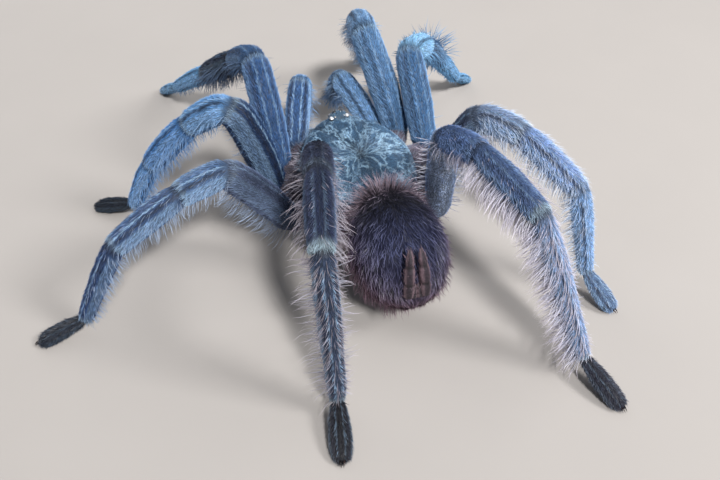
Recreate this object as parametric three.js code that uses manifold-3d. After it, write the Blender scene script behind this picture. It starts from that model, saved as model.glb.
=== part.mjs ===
// A tarantula at life size, standing as it creeps forward, with its knees high and its feet flat on the
// ground. Units are millimetres, +Z is up, the head points to -Y and the animal's left is +X.
// Every limb is a chain of segments. Each segment is a body of revolution, slightly flattened and bowed,
// and its near end is hollowed to seat the end of the segment before it with a thin joint gap.

import * as THREE from "three";
import * as BufferGeometryUtils from "three/addons/utils/BufferGeometryUtils.js";
import Module from "manifold-3d";

const wasm = await Module();
wasm.setup();

// ---- Driving dimensions ----

const JOINT_GAP = 0.3;

const CARAPACE = { length: 17.6, width: 15, dome: 4.8, keel: 1.5, edgeHeight: 8.8, setForward: 0.8 };
const NOSE_UP = 5;
const CARAPACE_FORM = { narrowing: 0.22, squareness: 0.88, shoulder: 0.62 };
const HEAD_RISE = { height: 0.3, at: -0.6, length: 0.1, width: 0.14 };
const STOMACH_PIT = { depth: 0.5, at: 0.12, length: 0.006, width: 0.02 };
const STERNUM = { length: 8.5, width: 6.6, depth: 2.6, height: 6.9 };
const PEDICEL = { radius: 1.1, length: 3.2, height: 8.9 };
const ABDOMEN = { length: 16.5, width: 12, height: 11.6, frontY: 6.8, frontZ: 12, droop: 20, swing: -7 };
const ABDOMEN_FORM = { wideRear: 0.1, narrowEnds: 0.06 };
const TUBERCLE = { length: 2.1, width: 2.9, height: 1.1, setBack: 2.5, rise: 0.82 };
const CHELICERA = { length: 6.6, width: 3.3, height: 3.9, bow: 0.3, spread: 1.85, rootZ: 8.3, droop: 30 };
const FANG = { length: 3.9, radius: 0.62, bow: -0.45, at: 0.84, under: 0.3, turnIn: 10, fall: 38 };
const SPINNERET = { length: 5.8, radius: 0.62, bow: -0.3, at: 0.955, spread: 0.95, rise: 2.0 };
const SPINNERET_POSE = { lean: 104, meet: 14 };
const COXA = { width: 4.0, height: 4.2, innerX: 0.3, innerY: 0.42, pastHip: 0.4 };

// How far each foot is pressed below the level of the ground, where it is then cut flat.
const FOOT_PRESS = 0.15;
const GROUND = { width: 200, depth: 40 };

// Thickness of each segment: width across and height from back to belly.
const THICKNESS = {
  femur: { width: 4.2, height: 4.5, bow: 0.35 },
  patella: { width: 3.9, height: 3.9, bow: 0.15 },
  tibia: { width: 3.75, height: 3.75, bow: 0.1 },
  metatarsus: { width: 3.1, height: 3.0, bow: 0.12 },
  tarsus: { width: 2.9, height: 1.8, bow: 0.05 },
};

// Outline of each segment: how far along it, and how thick there, both as a share of the full size.
const OUTLINE = {
  femur: [[0.0, 0.62], [0.14, 0.88], [0.45, 1.0], [0.9, 0.92], [1.0, 0.55]],
  patella: [[-0.12, 0.6], [0.05, 0.92], [0.5, 1.0], [0.92, 0.9], [1.0, 0.55]],
  tibia: [[-0.08, 0.6], [0.08, 0.9], [0.4, 1.0], [0.92, 0.84], [1.0, 0.5]],
  metatarsus: [[-0.06, 0.6], [0.06, 0.92], [0.25, 1.0], [0.93, 0.74], [1.0, 0.48]],
  tarsus: [[-0.08, 0.55], [0.06, 0.78], [0.55, 1.0], [0.9, 0.88], [1.0, 0.54]],
};

// The limbs. stoutness is their thickness beside the front leg's. shagginess and lockReach are the share
// of the bristle locks that they carry and of the length of those locks. hip is the first joint, lengths
// run from the femur out, bearing is the heading of each segment in degrees to the left of straight ahead,
// lift is its climb in degrees, and ankle is the height of the last joint. The last two segments have no
// lift of their own: it follows from the ankle and the tip.
const LIMBS = [
  {
    name: "leg_1_left",
    stoutness: 1.0,
    shagginess: 0.5,
    lockReach: 0.75,
    hip: [8.6, -5.6, 7.8],
    lengths: [14.7, 8.3, 11.4, 10.4, 6.6],
    bearing: [1, 5, 16, 24, 13],
    lift: [57, -28, -34],
    ankle: 3.9,
  },
  {
    name: "leg_2_left",
    stoutness: 0.98,
    shagginess: 0.5,
    lockReach: 0.8,
    hip: [10.5, -1.9, 8.5],
    lengths: [13.3, 6.9, 9.5, 9.1, 6.2],
    bearing: [73, 53, 51, 47, 52],
    lift: [71, -33, -49],
    ankle: 2.1,
  },
  {
    name: "leg_3_left",
    stoutness: 0.94,
    shagginess: 0.85,
    lockReach: 0.95,
    hip: [10.4, 3.8, 7.5],
    lengths: [11.7, 5.8, 9.2, 11.0, 5.6],
    bearing: [87, 97, 97, 91, 95],
    lift: [52, -11, -27],
    ankle: 1.8,
  },
  {
    name: "leg_4_left",
    stoutness: 0.92,
    shagginess: 1.0,
    lockReach: 1.1,
    hip: [7.6, 8.0, 7.4],
    lengths: [13.3, 6.6, 9.9, 18.7, 6.7],
    bearing: [143, 161, 162, 179, 163],
    lift: [85, 16, -11],
    ankle: 2.2,
  },
  {
    name: "leg_1_right",
    stoutness: 1.0,
    shagginess: 0.5,
    lockReach: 0.75,
    hip: [-8.5, -6.4, 8.6],
    lengths: [14.7, 8.3, 11.4, 10.4, 6.6],
    bearing: [9, -16, -25, -27, -27],
    lift: [52, -18, -42],
    ankle: 2.4,
  },
  {
    name: "leg_2_right",
    stoutness: 0.98,
    shagginess: 0.5,
    lockReach: 0.8,
    hip: [-10.5, -1.8, 8.6],
    lengths: [13.3, 6.9, 9.5, 9.1, 6.2],
    bearing: [-7, -45, -44, -56, -49],
    lift: [47, -19, -39],
    ankle: 3.6,
  },
  {
    name: "leg_3_right",
    stoutness: 0.94,
    shagginess: 0.85,
    lockReach: 0.95,
    hip: [-9.5, 3.2, 7.7],
    lengths: [11.7, 5.8, 9.2, 11.0, 5.6],
    bearing: [-128, -148, -152, -166, -161],
    lift: [65, -3, -26],
    ankle: 3.5,
  },
  {
    name: "leg_4_right",
    stoutness: 0.92,
    shagginess: 1.0,
    lockReach: 1.1,
    hip: [-7.4, 8.4, 7.0],
    lengths: [13.3, 6.6, 9.9, 18.7, 6.7],
    bearing: [155, -172, -166, -144, -168],
    lift: [78, 17, -13],
    ankle: 2.6,
  },
  {
    name: "palp_left",
    stoutness: 0.86,
    shagginess: 0.4,
    lockReach: 0.7,
    hip: [5.4, -9.0, 8.0],
    lengths: [10.1, 6.1, 7.7, 6.3],
    bearing: [-24, -20, -17, -21],
    lift: [28, -38],
    ankle: 2.4,
  },
  {
    name: "palp_right",
    stoutness: 0.86,
    shagginess: 0.4,
    lockReach: 0.7,
    hip: [-6.0, -8.6, 8.6],
    lengths: [10.1, 6.1, 7.7, 6.3],
    bearing: [7, -12, -17, -22],
    lift: [17, -40],
    ankle: 2.3,
  },
];

const LEG_SEGMENTS = ["femur", "patella", "tibia", "metatarsus", "tarsus"];
const PALP_SEGMENTS = ["femur", "patella", "tibia", "tarsus"];

// The bristles stand in flat, tapering locks that overlap like shingles. On a limb they leave its flanks
// and belly in rows and bend towards its tip. Counts are those of the last leg, which is the shaggiest.
const LOCKS = {
  femur: { count: 9, length: 3.2, width: 2.1 },
  patella: { count: 5, length: 2.9, width: 1.9 },
  tibia: { count: 12, length: 3.5, width: 2.0 },
  metatarsus: { count: 18, length: 3.7, width: 1.8 },
};
const LIMB_LOCK_ROWS = { first: 0.1, span: 0.76, number: 3, highest: 52, apart: 38, scatter: 16 };
const LIMB_LOCK_STAND = { least: 0.38, spread: 0.18 };
const ABDOMEN_LOCKS = { count: 58, length: 4.2, width: 2.8, first: -0.85, span: 1.7 };
const FRONT_LOCKS = { edge: -0.55, length: 3.4 };
const ABDOMEN_LOCK_STAND = { least: 0.13, spread: 0.12 };
const LOCK = { thickness: 0.8, sink: 0.8, sides: 3, steps: 2, clearance: 0.4, shortest: 1.7, samples: 5 };

// Roundness of the solids, and how far the ends of a limb segment bulge, as a share of its height.
const LIMB_SIDES = 8;
const BODY_SIDES = 24;
const BODY_RINGS = 12;
const END_BULGE = 0.1;

// Colours.
const COLOUR = {
  carapace: 0x4d7f92,
  abdomen: 0x35263f,
  femur: 0x56719a,
  patella: 0x4d5f82,
  tibia: 0x5f7ca6,
  metatarsus: 0x6a83a8,
  tarsus: 0x2b2e38,
  chelicera: 0x5f8797,
  fang: 0x120d0d,
  eye: 0x16181c,
  spinneret: 0x5a434c,
};

// ---- Turning geometry into solids and back ----

// Makes one closed skin of a three.js shape: shared corners are merged and flat triangles dropped. It is
// done on the plain shape, before that is bent or placed.
function closedShape(geometry) {
  geometry.deleteAttribute("normal");
  geometry.deleteAttribute("uv");
  const merged = BufferGeometryUtils.mergeVertices(geometry, 1e-4);
  const corners = merged.index.array;
  const kept = [];
  for (let i = 0; i < corners.length; i += 3) {
    const a = corners[i];
    const b = corners[i + 1];
    const c = corners[i + 2];
    if (a !== b && b !== c && c !== a) {
      kept.push(a, b, c);
    }
  }
  merged.setIndex(kept);
  return merged;
}

function toSolid(geometry) {
  const mesh = new wasm.Mesh({
    numProp: 3,
    vertProperties: new Float32Array(geometry.attributes.position.array),
    triVerts: new Uint32Array(geometry.index.array),
  });
  return new wasm.Manifold(mesh);
}

function toGeometry(solid) {
  const mesh = solid.getMesh();
  const geometry = new THREE.BufferGeometry();
  geometry.setAttribute("position", new THREE.BufferAttribute(new Float32Array(mesh.vertProperties), 3));
  geometry.setIndex(new THREE.BufferAttribute(new Uint32Array(mesh.triVerts), 1));
  geometry.computeVertexNormals();
  return geometry;
}

function keepLargest(solid) {
  let largest = null;
  for (const piece of solid.decompose()) {
    if (largest === null || piece.volume() > largest.volume()) {
      largest = piece;
    }
  }
  return largest;
}

function joined(solids) {
  return solids.reduce((whole, solid) => whole.add(solid));
}

// ---- Directions and places ----

function vector(list) {
  return new THREE.Vector3(...list);
}

// A heading and a climb give the direction along a segment and the direction of its back.
function headingAxes(bearing, lift) {
  const turn = THREE.MathUtils.degToRad(bearing);
  const climb = THREE.MathUtils.degToRad(lift);
  const along = new THREE.Vector3(
    Math.sin(turn) * Math.cos(climb),
    -Math.cos(turn) * Math.cos(climb),
    Math.sin(climb),
  );
  const back = new THREE.Vector3(
    -Math.sin(turn) * Math.sin(climb),
    Math.cos(turn) * Math.sin(climb),
    Math.cos(climb),
  );
  return { along, back };
}

// The placement whose local +Y runs along the piece and whose local +Z is its back.
function placement(origin, axes) {
  const across = new THREE.Vector3().crossVectors(axes.along, axes.back).normalize();
  const matrix = new THREE.Matrix4().makeBasis(across, axes.along, axes.back);
  matrix.setPosition(origin);
  return matrix;
}

// ---- Limb segments ----

// A body of revolution along local +Y, flattened to its width and height and bowed towards its back.
// grow makes it larger all round, for hollowing out its neighbour.
function segmentGeometry(outline, size, length, grow) {
  const [startPlace, startThickness] = outline[0];
  const [endPlace, endThickness] = outline[outline.length - 1];
  const bulge = END_BULGE * size.height;
  const points = [new THREE.Vector2(0, startPlace * length - grow - startThickness * bulge)];
  for (const [place, thickness] of outline) {
    const stretch = grow * (2 * place - 1);
    points.push(new THREE.Vector2(thickness, place * length + stretch));
  }
  points.push(new THREE.Vector2(0, endPlace * length + grow + endThickness * bulge));
  const geometry = closedShape(new THREE.LatheGeometry(points, LIMB_SIDES));
  const position = geometry.attributes.position;
  for (let i = 0; i < position.count; i += 1) {
    const radius = Math.hypot(position.getX(i), position.getZ(i));
    const push = radius > 0 ? grow / radius : 0;
    const along = THREE.MathUtils.clamp(position.getY(i) / length, 0, 1);
    const bow = size.bow * Math.sin(Math.PI * along);
    position.setX(i, position.getX(i) * (size.width / 2 + push));
    position.setZ(i, position.getZ(i) * (size.height / 2 + push) + bow);
  }
  return geometry;
}

// The lift of a segment that has to end at a given height.
function liftTo(height, joint, length) {
  return THREE.MathUtils.radToDeg(Math.asin((height - joint.z) / length));
}

function limbSegment(limb, kind, i, joint, lift) {
  const axes = headingAxes(limb.bearing[i], lift);
  const size = {
    width: THICKNESS[kind].width * limb.stoutness,
    height: THICKNESS[kind].height * limb.stoutness,
    bow: THICKNESS[kind].bow,
  };
  const length = limb.lengths[i];
  return { kind, length, axes, size, start: joint.clone(), matrix: placement(joint, axes) };
}

// The last segment slopes down to the ground. Its tip is lowered in a few steps until the sole is pressed
// in by the chosen amount.
function footSegment(limb, kind, i, joint) {
  let tipHeight = THICKNESS[kind].height / 2;
  let foot = null;
  for (let step = 0; step < 4; step += 1) {
    foot = limbSegment(limb, kind, i, joint, liftTo(tipHeight, joint, limb.lengths[i]));
    const shape = segmentGeometry(OUTLINE[kind], foot.size, foot.length, 0).applyMatrix4(foot.matrix);
    shape.computeBoundingBox();
    tipHeight -= shape.boundingBox.min.z + FOOT_PRESS;
  }
  return foot;
}

// Works out the joints of a limb and the placement of each segment.
function limbChain(limb) {
  const kinds = limb.lengths.length === PALP_SEGMENTS.length ? PALP_SEGMENTS : LEG_SEGMENTS;
  const last = kinds.length - 1;
  const chain = [];
  let joint = vector(limb.hip);
  kinds.forEach((kind, i) => {
    const lift = i < last - 1 ? limb.lift[i] : liftTo(limb.ankle, joint, limb.lengths[i]);
    const segment = i < last ? limbSegment(limb, kind, i, joint, lift) : footSegment(limb, kind, i, joint);
    chain.push(segment);
    joint = joint.clone().addScaledVector(segment.axes.along, segment.length);
  });
  return chain;
}

function shapedSolid(outline, segment, grow) {
  const geometry = segmentGeometry(outline, segment.size, segment.length, grow);
  return toSolid(geometry.applyMatrix4(segment.matrix));
}

// ---- The front body: carapace, sternum, coxae and pedicel ----

const COXA_OUTLINE = [[0, 0.6], [0.3, 0.98], [0.85, 0.9], [1, 0.55]];

// The front body is tipped nose up about its middle.
const prosomaPlace = new THREE.Matrix4()
  .makeTranslation(0, -CARAPACE.setForward, CARAPACE.edgeHeight)
  .multiply(new THREE.Matrix4().makeRotationX(-THREE.MathUtils.degToRad(NOSE_UP)));

// A soft hill of height 1 on the midline, for the raised head and the pit behind it.
function swellAt(x, y, hill) {
  return Math.exp(-((y - hill.at) ** 2) / hill.length - x * x / hill.width);
}

// A rounded shield: broad behind the middle, narrowing to the raised head part in front, with a shallow
// pit where the muscles of the stomach are fixed.
function carapaceGeometry(grow) {
  const geometry = closedShape(new THREE.SphereGeometry(1, BODY_SIDES, BODY_RINGS));
  geometry.rotateX(Math.PI / 2);
  const position = geometry.attributes.position;
  for (let i = 0; i < position.count; i += 1) {
    const x = position.getX(i);
    const y = position.getY(i);
    const z = position.getZ(i);
    const front = THREE.MathUtils.smoothstep(-y, -0.1, 1);
    const halfWidth = CARAPACE.width / 2 * (1 - CARAPACE_FORM.narrowing * front) + grow;
    const rise = HEAD_RISE.height * swellAt(x, y, HEAD_RISE) - STOMACH_PIT.depth * swellAt(x, y, STOMACH_PIT);
    const top = CARAPACE.dome * Math.abs(z) ** CARAPACE_FORM.shoulder + rise * Math.min(1, Math.abs(z) * 2);
    const bottom = -CARAPACE.keel * Math.abs(z);
    position.setX(i, Math.sign(x) * Math.abs(x) ** CARAPACE_FORM.squareness * halfWidth);
    position.setY(i, Math.sign(y) * Math.abs(y) ** CARAPACE_FORM.squareness * (CARAPACE.length / 2 + grow));
    position.setZ(i, (z > 0 ? top : bottom) + z * grow);
  }
  return geometry.applyMatrix4(prosomaPlace);
}

function ellipsoidGeometry(sides, rings, halfSize, centre) {
  const geometry = closedShape(new THREE.SphereGeometry(1, sides, rings));
  geometry.scale(...halfSize);
  geometry.translate(...centre);
  return geometry;
}

// A coxa with its trochanter runs from the sternum's edge to the hip of its limb.
function coxaInnerEnd(limb) {
  return new THREE.Vector3(limb.hip[0] * COXA.innerX, limb.hip[1] * COXA.innerY, STERNUM.height);
}

function coxaGeometry(limb, grow) {
  const inner = coxaInnerEnd(limb);
  const along = vector(limb.hip).sub(inner);
  const length = along.length() + COXA.pastHip;
  along.normalize();
  const across = new THREE.Vector3().crossVectors(along, new THREE.Vector3(0, 0, 1));
  const back = new THREE.Vector3().crossVectors(across.normalize(), along);
  const size = { width: COXA.width * limb.stoutness, height: COXA.height * limb.stoutness, bow: 0 };
  return segmentGeometry(COXA_OUTLINE, size, length, grow).applyMatrix4(placement(inner, { along, back }));
}

function prosomaSolid(grow) {
  const sternum = ellipsoidGeometry(
    12,
    6,
    [STERNUM.width / 2 + grow, STERNUM.length / 2 + grow, STERNUM.depth / 2 + grow],
    [0, -0.5, STERNUM.height],
  );
  const radius = PEDICEL.radius + grow;
  const pedicel = closedShape(new THREE.CylinderGeometry(radius, radius, PEDICEL.length, LIMB_SIDES));
  pedicel.translate(0, CARAPACE.length / 2 + PEDICEL.length / 2 - 2 + grow, PEDICEL.height);
  const pieces = [carapaceGeometry(grow), sternum, pedicel];
  for (const limb of LIMBS) {
    pieces.push(coxaGeometry(limb, grow));
  }
  return joined(pieces.map(toSolid));
}

// ---- The hind body ----

const abdomenPose = headingAxes(180 + ABDOMEN.swing, -ABDOMEN.droop);
const abdomenPlace = placement(new THREE.Vector3(0, ABDOMEN.frontY, ABDOMEN.frontZ), abdomenPose);

// How much wider or narrower the abdomen is than a plain ellipsoid, from its front, -1, to its rear, 1.
function abdomenSwell(y) {
  return 1 + ABDOMEN_FORM.wideRear * y - ABDOMEN_FORM.narrowEnds * y * y;
}

// An egg, broadest behind its middle, with its blunt front over the pedicel. It lies along local +Y.
function abdomenGeometry(grow) {
  const geometry = closedShape(new THREE.SphereGeometry(1, BODY_SIDES, BODY_RINGS));
  const position = geometry.attributes.position;
  for (let i = 0; i < position.count; i += 1) {
    const y = position.getY(i);
    const swell = abdomenSwell(y);
    position.setX(i, position.getX(i) * (ABDOMEN.width / 2 * swell + grow));
    position.setZ(i, position.getZ(i) * (ABDOMEN.height / 2 * swell + grow));
    position.setY(i, y * (ABDOMEN.length / 2 + grow) + ABDOMEN.length / 2);
  }
  return geometry.applyMatrix4(abdomenPlace);
}

// The pair of long spinnerets stands up against the rear of the abdomen, tips leaning together.
const SPINNERET_OUTLINE = [[0, 0.85], [0.2, 1], [0.28, 0.82], [0.6, 0.92], [0.85, 0.6], [1, 0.25]];

function spinneretSegment(side) {
  const rear = new THREE.Vector3(side * SPINNERET.spread, ABDOMEN.length * SPINNERET.at, SPINNERET.rise);
  rear.applyMatrix4(abdomenPlace);
  const axes = headingAxes(180 + ABDOMEN.swing - side * SPINNERET_POSE.meet, SPINNERET_POSE.lean);
  const size = { width: SPINNERET.radius * 2, height: SPINNERET.radius * 2, bow: SPINNERET.bow };
  return { axes, size, length: SPINNERET.length, start: rear, matrix: placement(rear, axes) };
}

// ---- The mouth and the eyes ----

const CHELICERA_OUTLINE = [[-0.25, 0.6], [0.1, 0.92], [0.4, 1], [0.75, 0.93], [0.95, 0.7], [1, 0.45]];

function cheliceraSegment(side) {
  const rootY = -CARAPACE.length / 2 + 0.2;
  const start = new THREE.Vector3(side * CHELICERA.spread, rootY, CHELICERA.rootZ);
  const axes = headingAxes(0, -CHELICERA.droop);
  const size = { width: CHELICERA.width, height: CHELICERA.height, bow: CHELICERA.bow };
  return { axes, size, length: CHELICERA.length, start, matrix: placement(start, axes) };
}

const FANG_OUTLINE = [[0, 0.9], [0.08, 1], [0.3, 0.86], [0.6, 0.6], [0.85, 0.3], [0.98, 0.12]];

// A fang hangs from the lower front of its chelicera and curls back under it.
function fangSegment(side, chelicera) {
  const start = new THREE.Vector3(0, CHELICERA.length * FANG.at, -CHELICERA.height * FANG.under);
  start.applyMatrix4(chelicera.matrix);
  const axes = headingAxes(180 - side * FANG.turnIn, -FANG.fall);
  const size = { width: FANG.radius * 2, height: FANG.radius * 2, bow: FANG.bow };
  return { axes, size, length: FANG.length, start, matrix: placement(start, axes) };
}

// Each eye: sideways and forward place as a share of the tubercle's half width and half length, and radius.
const EYES = [
  { across: 0.32, ahead: 0.62, radius: 0.3 },
  { across: 0.74, ahead: 0.78, radius: 0.3 },
  { across: 0.8, ahead: -0.34, radius: 0.27 },
  { across: 0.46, ahead: -0.42, radius: 0.2 },
];
const tubercleCentre = new THREE.Vector3(
  0,
  -CARAPACE.length / 2 + TUBERCLE.setBack,
  CARAPACE.dome * TUBERCLE.rise,
);
tubercleCentre.applyMatrix4(prosomaPlace);

function tubercleSolid() {
  const half = [TUBERCLE.width / 2, TUBERCLE.length / 2, TUBERCLE.height];
  const pieces = [toSolid(ellipsoidGeometry(12, 6, half, tubercleCentre.toArray()))];
  for (const eye of EYES) {
    for (const side of [-1, 1]) {
      const level = Math.sqrt(Math.max(0.08, 1 - eye.across ** 2 - eye.ahead ** 2));
      const centre = [
        side * eye.across * half[0],
        tubercleCentre.y - eye.ahead * half[1],
        tubercleCentre.z + level * half[2],
      ];
      pieces.push(toSolid(ellipsoidGeometry(6, 4, [eye.radius, eye.radius, eye.radius], centre)));
    }
  }
  return joined(pieces);
}

// ---- Bristle locks ----

// A repeatable stream of numbers from 0 to 1.
function seededRandom(seed) {
  let state = seed;
  return () => {
    state = (state + 0x6d2b79f5) | 0;
    let mixed = Math.imul(state ^ (state >>> 15), 1 | state);
    mixed = (mixed + Math.imul(mixed ^ (mixed >>> 7), 61 | mixed)) ^ mixed;
    return ((mixed ^ (mixed >>> 14)) >>> 0) / 4294967296;
  };
}

// The midline of a lock: it leaves the surface and bends over to follow the lie.
function lockCurve(root, outward, lie, length, stand) {
  const start = root.clone().addScaledVector(outward, -LOCK.sink);
  const bend = root.clone().addScaledVector(outward, length * stand * 0.8);
  bend.addScaledVector(lie, length * 0.35);
  const tip = root.clone().addScaledVector(outward, length * stand);
  tip.addScaledVector(lie, length * 0.92);
  return new THREE.QuadraticBezierCurve3(start, bend, tip);
}

// A flat cone with a low ridge along its back, laid along its midline. It keeps its width over half its
// length, then tapers.
function lockSolid(curve, outward, width) {
  const geometry = closedShape(new THREE.ConeGeometry(1, 1, LOCK.sides, LOCK.steps));
  const position = geometry.attributes.position;
  for (let i = 0; i < position.count; i += 1) {
    const along = position.getY(i) + 0.5;
    const fullness = along < 1 ? (1 - along) ** -0.65 : 0;
    const centre = curve.getPoint(along);
    const tangent = curve.getTangent(along);
    const across = new THREE.Vector3().crossVectors(tangent, outward).normalize();
    const flat = new THREE.Vector3().crossVectors(across, tangent);
    centre.addScaledVector(across, position.getX(i) * fullness * width / 2);
    centre.addScaledVector(flat, position.getZ(i) * fullness * LOCK.thickness / 2);
    position.setXYZ(i, ...centre.toArray());
  }
  return toSolid(geometry);
}

// Everything that a lock has to stay clear of, as rounded rods with the name of their node.
const obstacles = [];

function addObstacle(name, start, end, radius) {
  obstacles.push({ name, line: new THREE.Line3(start.clone(), end.clone()), radius });
}

function isClear(point, ownName, halfWidth) {
  const room = halfWidth + LOCK.clearance;
  const nearest = new THREE.Vector3();
  return point.z > room && obstacles.every(({ name, line, radius }) => {
    line.closestPointToPoint(point, true, nearest);
    return name === ownName || nearest.distanceTo(point) > radius + room;
  });
}

// Grows one lock, shortened until it is clear of the other nodes, and keeps its midline as an obstacle.
function growLock(ownName, root, outward, lie, length, width, stand) {
  for (let reach = length; reach >= LOCK.shortest; reach *= 0.85) {
    const curve = lockCurve(root, outward, lie, reach, stand);
    const samples = curve.getPoints(LOCK.samples).slice(1);
    if (samples.every((point, i) => isClear(point, ownName, width * 0.45 * (1 - i / LOCK.samples)))) {
      const middle = samples[Math.floor(samples.length / 2)];
      addObstacle(ownName, samples[0], middle, width * 0.35);
      addObstacle(ownName, middle, samples[samples.length - 1], width * 0.15);
      return [lockSolid(curve, outward, width)];
    }
  }
  return [];
}

function outlineAt(outline, place) {
  const after = outline.findIndex(([mark]) => mark >= place);
  const [p0, t0] = outline[after - 1];
  const [p1, t1] = outline[after];
  return THREE.MathUtils.mapLinear(place, p0, p1, t0, t1);
}

// The locks of a limb segment are spread evenly along it, on alternate sides, in rows from flank to belly.
function segmentLocks(name, segment, limb, random) {
  const rule = LOCKS[segment.kind];
  if (rule === undefined) {
    return [];
  }
  const rows = LIMB_LOCK_ROWS;
  const count = Math.round(rule.count * limb.shagginess);
  const solids = [];
  for (let i = 0; i < count; i += 1) {
    const place = rows.first + rows.span * (i + 0.25 + 0.5 * random()) / count;
    const side = i % 2 === 0 ? 1 : -1;
    const row = Math.floor(i / 2) % rows.number;
    const fromBack = rows.highest + rows.apart * row + rows.scatter * random();
    const around = THREE.MathUtils.degToRad(side * fromBack);
    const thickness = outlineAt(OUTLINE[segment.kind], place);
    const root = new THREE.Vector3(
      Math.sin(around) * segment.size.width / 2 * thickness,
      place * segment.length,
      Math.cos(around) * segment.size.height / 2 * thickness + segment.size.bow * Math.sin(Math.PI * place),
    );
    const outward = new THREE.Vector3(Math.sin(around), 0, Math.cos(around));
    const reach = rule.length * limb.lockReach * (0.85 + 0.3 * random());
    const stand = LIMB_LOCK_STAND.least + LIMB_LOCK_STAND.spread * random();
    root.applyMatrix4(segment.matrix);
    outward.transformDirection(segment.matrix);
    solids.push(...growLock(name, root, outward, segment.axes.along, reach, rule.width, stand));
  }
  return solids;
}

// The abdomen's locks lie back over it, spread in a spiral from its front to its rear. Those round the
// front edge turn forward and outward, over the rear of the carapace.
function abdomenLocks(random) {
  const goldenTurn = Math.PI * (3 - Math.sqrt(5));
  const solids = [];
  for (let i = 0; i < ABDOMEN_LOCKS.count; i += 1) {
    const y = ABDOMEN_LOCKS.first + ABDOMEN_LOCKS.span * (i + 0.5) / ABDOMEN_LOCKS.count;
    const ring = Math.sqrt(1 - y * y);
    const turn = i * goldenTurn + 0.3 * random();
    const swell = abdomenSwell(y);
    const root = new THREE.Vector3(
      Math.cos(turn) * ring * ABDOMEN.width / 2 * swell,
      (y + 1) * ABDOMEN.length / 2,
      Math.sin(turn) * ring * ABDOMEN.height / 2 * swell,
    );
    const outward = new THREE.Vector3(Math.cos(turn) * ring, y * 0.7, Math.sin(turn) * ring).normalize();
    const isFront = y < FRONT_LOCKS.edge;
    const lie = new THREE.Vector3(0, isFront ? -1 : 1, 0).projectOnPlane(outward).normalize();
    const length = isFront ? FRONT_LOCKS.length : ABDOMEN_LOCKS.length;
    const reach = length * (0.85 + 0.3 * random());
    const stand = ABDOMEN_LOCK_STAND.least + ABDOMEN_LOCK_STAND.spread * random();
    root.applyMatrix4(abdomenPlace);
    outward.transformDirection(abdomenPlace);
    lie.transformDirection(abdomenPlace);
    solids.push(...growLock("abdomen", root, outward, lie, reach, ABDOMEN_LOCKS.width, stand));
  }
  return solids;
}

// ---- Building the model ----

const tarantula = new THREE.Group();

function addNode(name, solid, colour, roughness, matrix) {
  const place = matrix ?? new THREE.Matrix4();
  const geometry = toGeometry(keepLargest(solid)).applyMatrix4(place.clone().invert());
  const material = new THREE.MeshStandardMaterial({ color: colour, roughness, metalness: 0 });
  const mesh = new THREE.Mesh(geometry, material);
  mesh.name = name;
  place.decompose(mesh.position, mesh.quaternion, mesh.scale);
  tarantula.add(mesh);
}

// The ground is cut away below the feet, which leaves a small flat under each.
function aboveGround(solid) {
  const block = closedShape(new THREE.BoxGeometry(GROUND.width, GROUND.width, GROUND.depth));
  block.translate(0, 0, -GROUND.depth / 2);
  return solid.subtract(toSolid(block));
}

const prosoma = prosomaSolid(0);
const prosomaSeat = prosomaSolid(JOINT_GAP);
const abdomenSeat = toSolid(abdomenGeometry(JOINT_GAP));
const chains = LIMBS.map(limbChain);

// The bodies that locks keep clear of: the limbs, the front body, the abdomen and the spinnerets.
LIMBS.forEach((limb, i) => {
  for (const segment of chains[i]) {
    const end = segment.start.clone().addScaledVector(segment.axes.along, segment.length);
    const radius = Math.max(segment.size.width, segment.size.height) / 2;
    addObstacle(`${limb.name}_${segment.kind}`, segment.start, end, radius);
  }
  addObstacle("prosoma", coxaInnerEnd(limb), vector(limb.hip), COXA.width / 2);
});
for (const side of [-1, 0, 1]) {
  const x = side * CARAPACE.width * 0.21;
  const front = new THREE.Vector3(x, -CARAPACE.length * 0.3, CARAPACE.dome * 0.25);
  const rear = new THREE.Vector3(x, CARAPACE.length * 0.26, 0);
  front.applyMatrix4(prosomaPlace);
  rear.applyMatrix4(prosomaPlace);
  addObstacle("prosoma", front, rear, CARAPACE.dome * 0.85);
}
const abdomenFront = new THREE.Vector3(0, ABDOMEN.length * 0.34, 0).applyMatrix4(abdomenPlace);
const abdomenRear = new THREE.Vector3(0, ABDOMEN.length * 0.64, 0).applyMatrix4(abdomenPlace);
addObstacle("abdomen", abdomenFront, abdomenRear, ABDOMEN.width / 2);
for (const side of [-1, 1]) {
  const { start, axes, length } = spinneretSegment(side);
  addObstacle("spinneret", start, start.clone().addScaledVector(axes.along, length), SPINNERET.radius);
}

addNode("prosoma", prosoma, COLOUR.carapace, 0.8);
addNode("ocular_tubercle", tubercleSolid().subtract(prosomaSeat), COLOUR.eye, 0.25);

const abdomen = joined([toSolid(abdomenGeometry(0)), ...abdomenLocks(seededRandom(41))]);
addNode("abdomen", abdomen.subtract(prosomaSeat), COLOUR.abdomen, 0.85, abdomenPlace);

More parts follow.
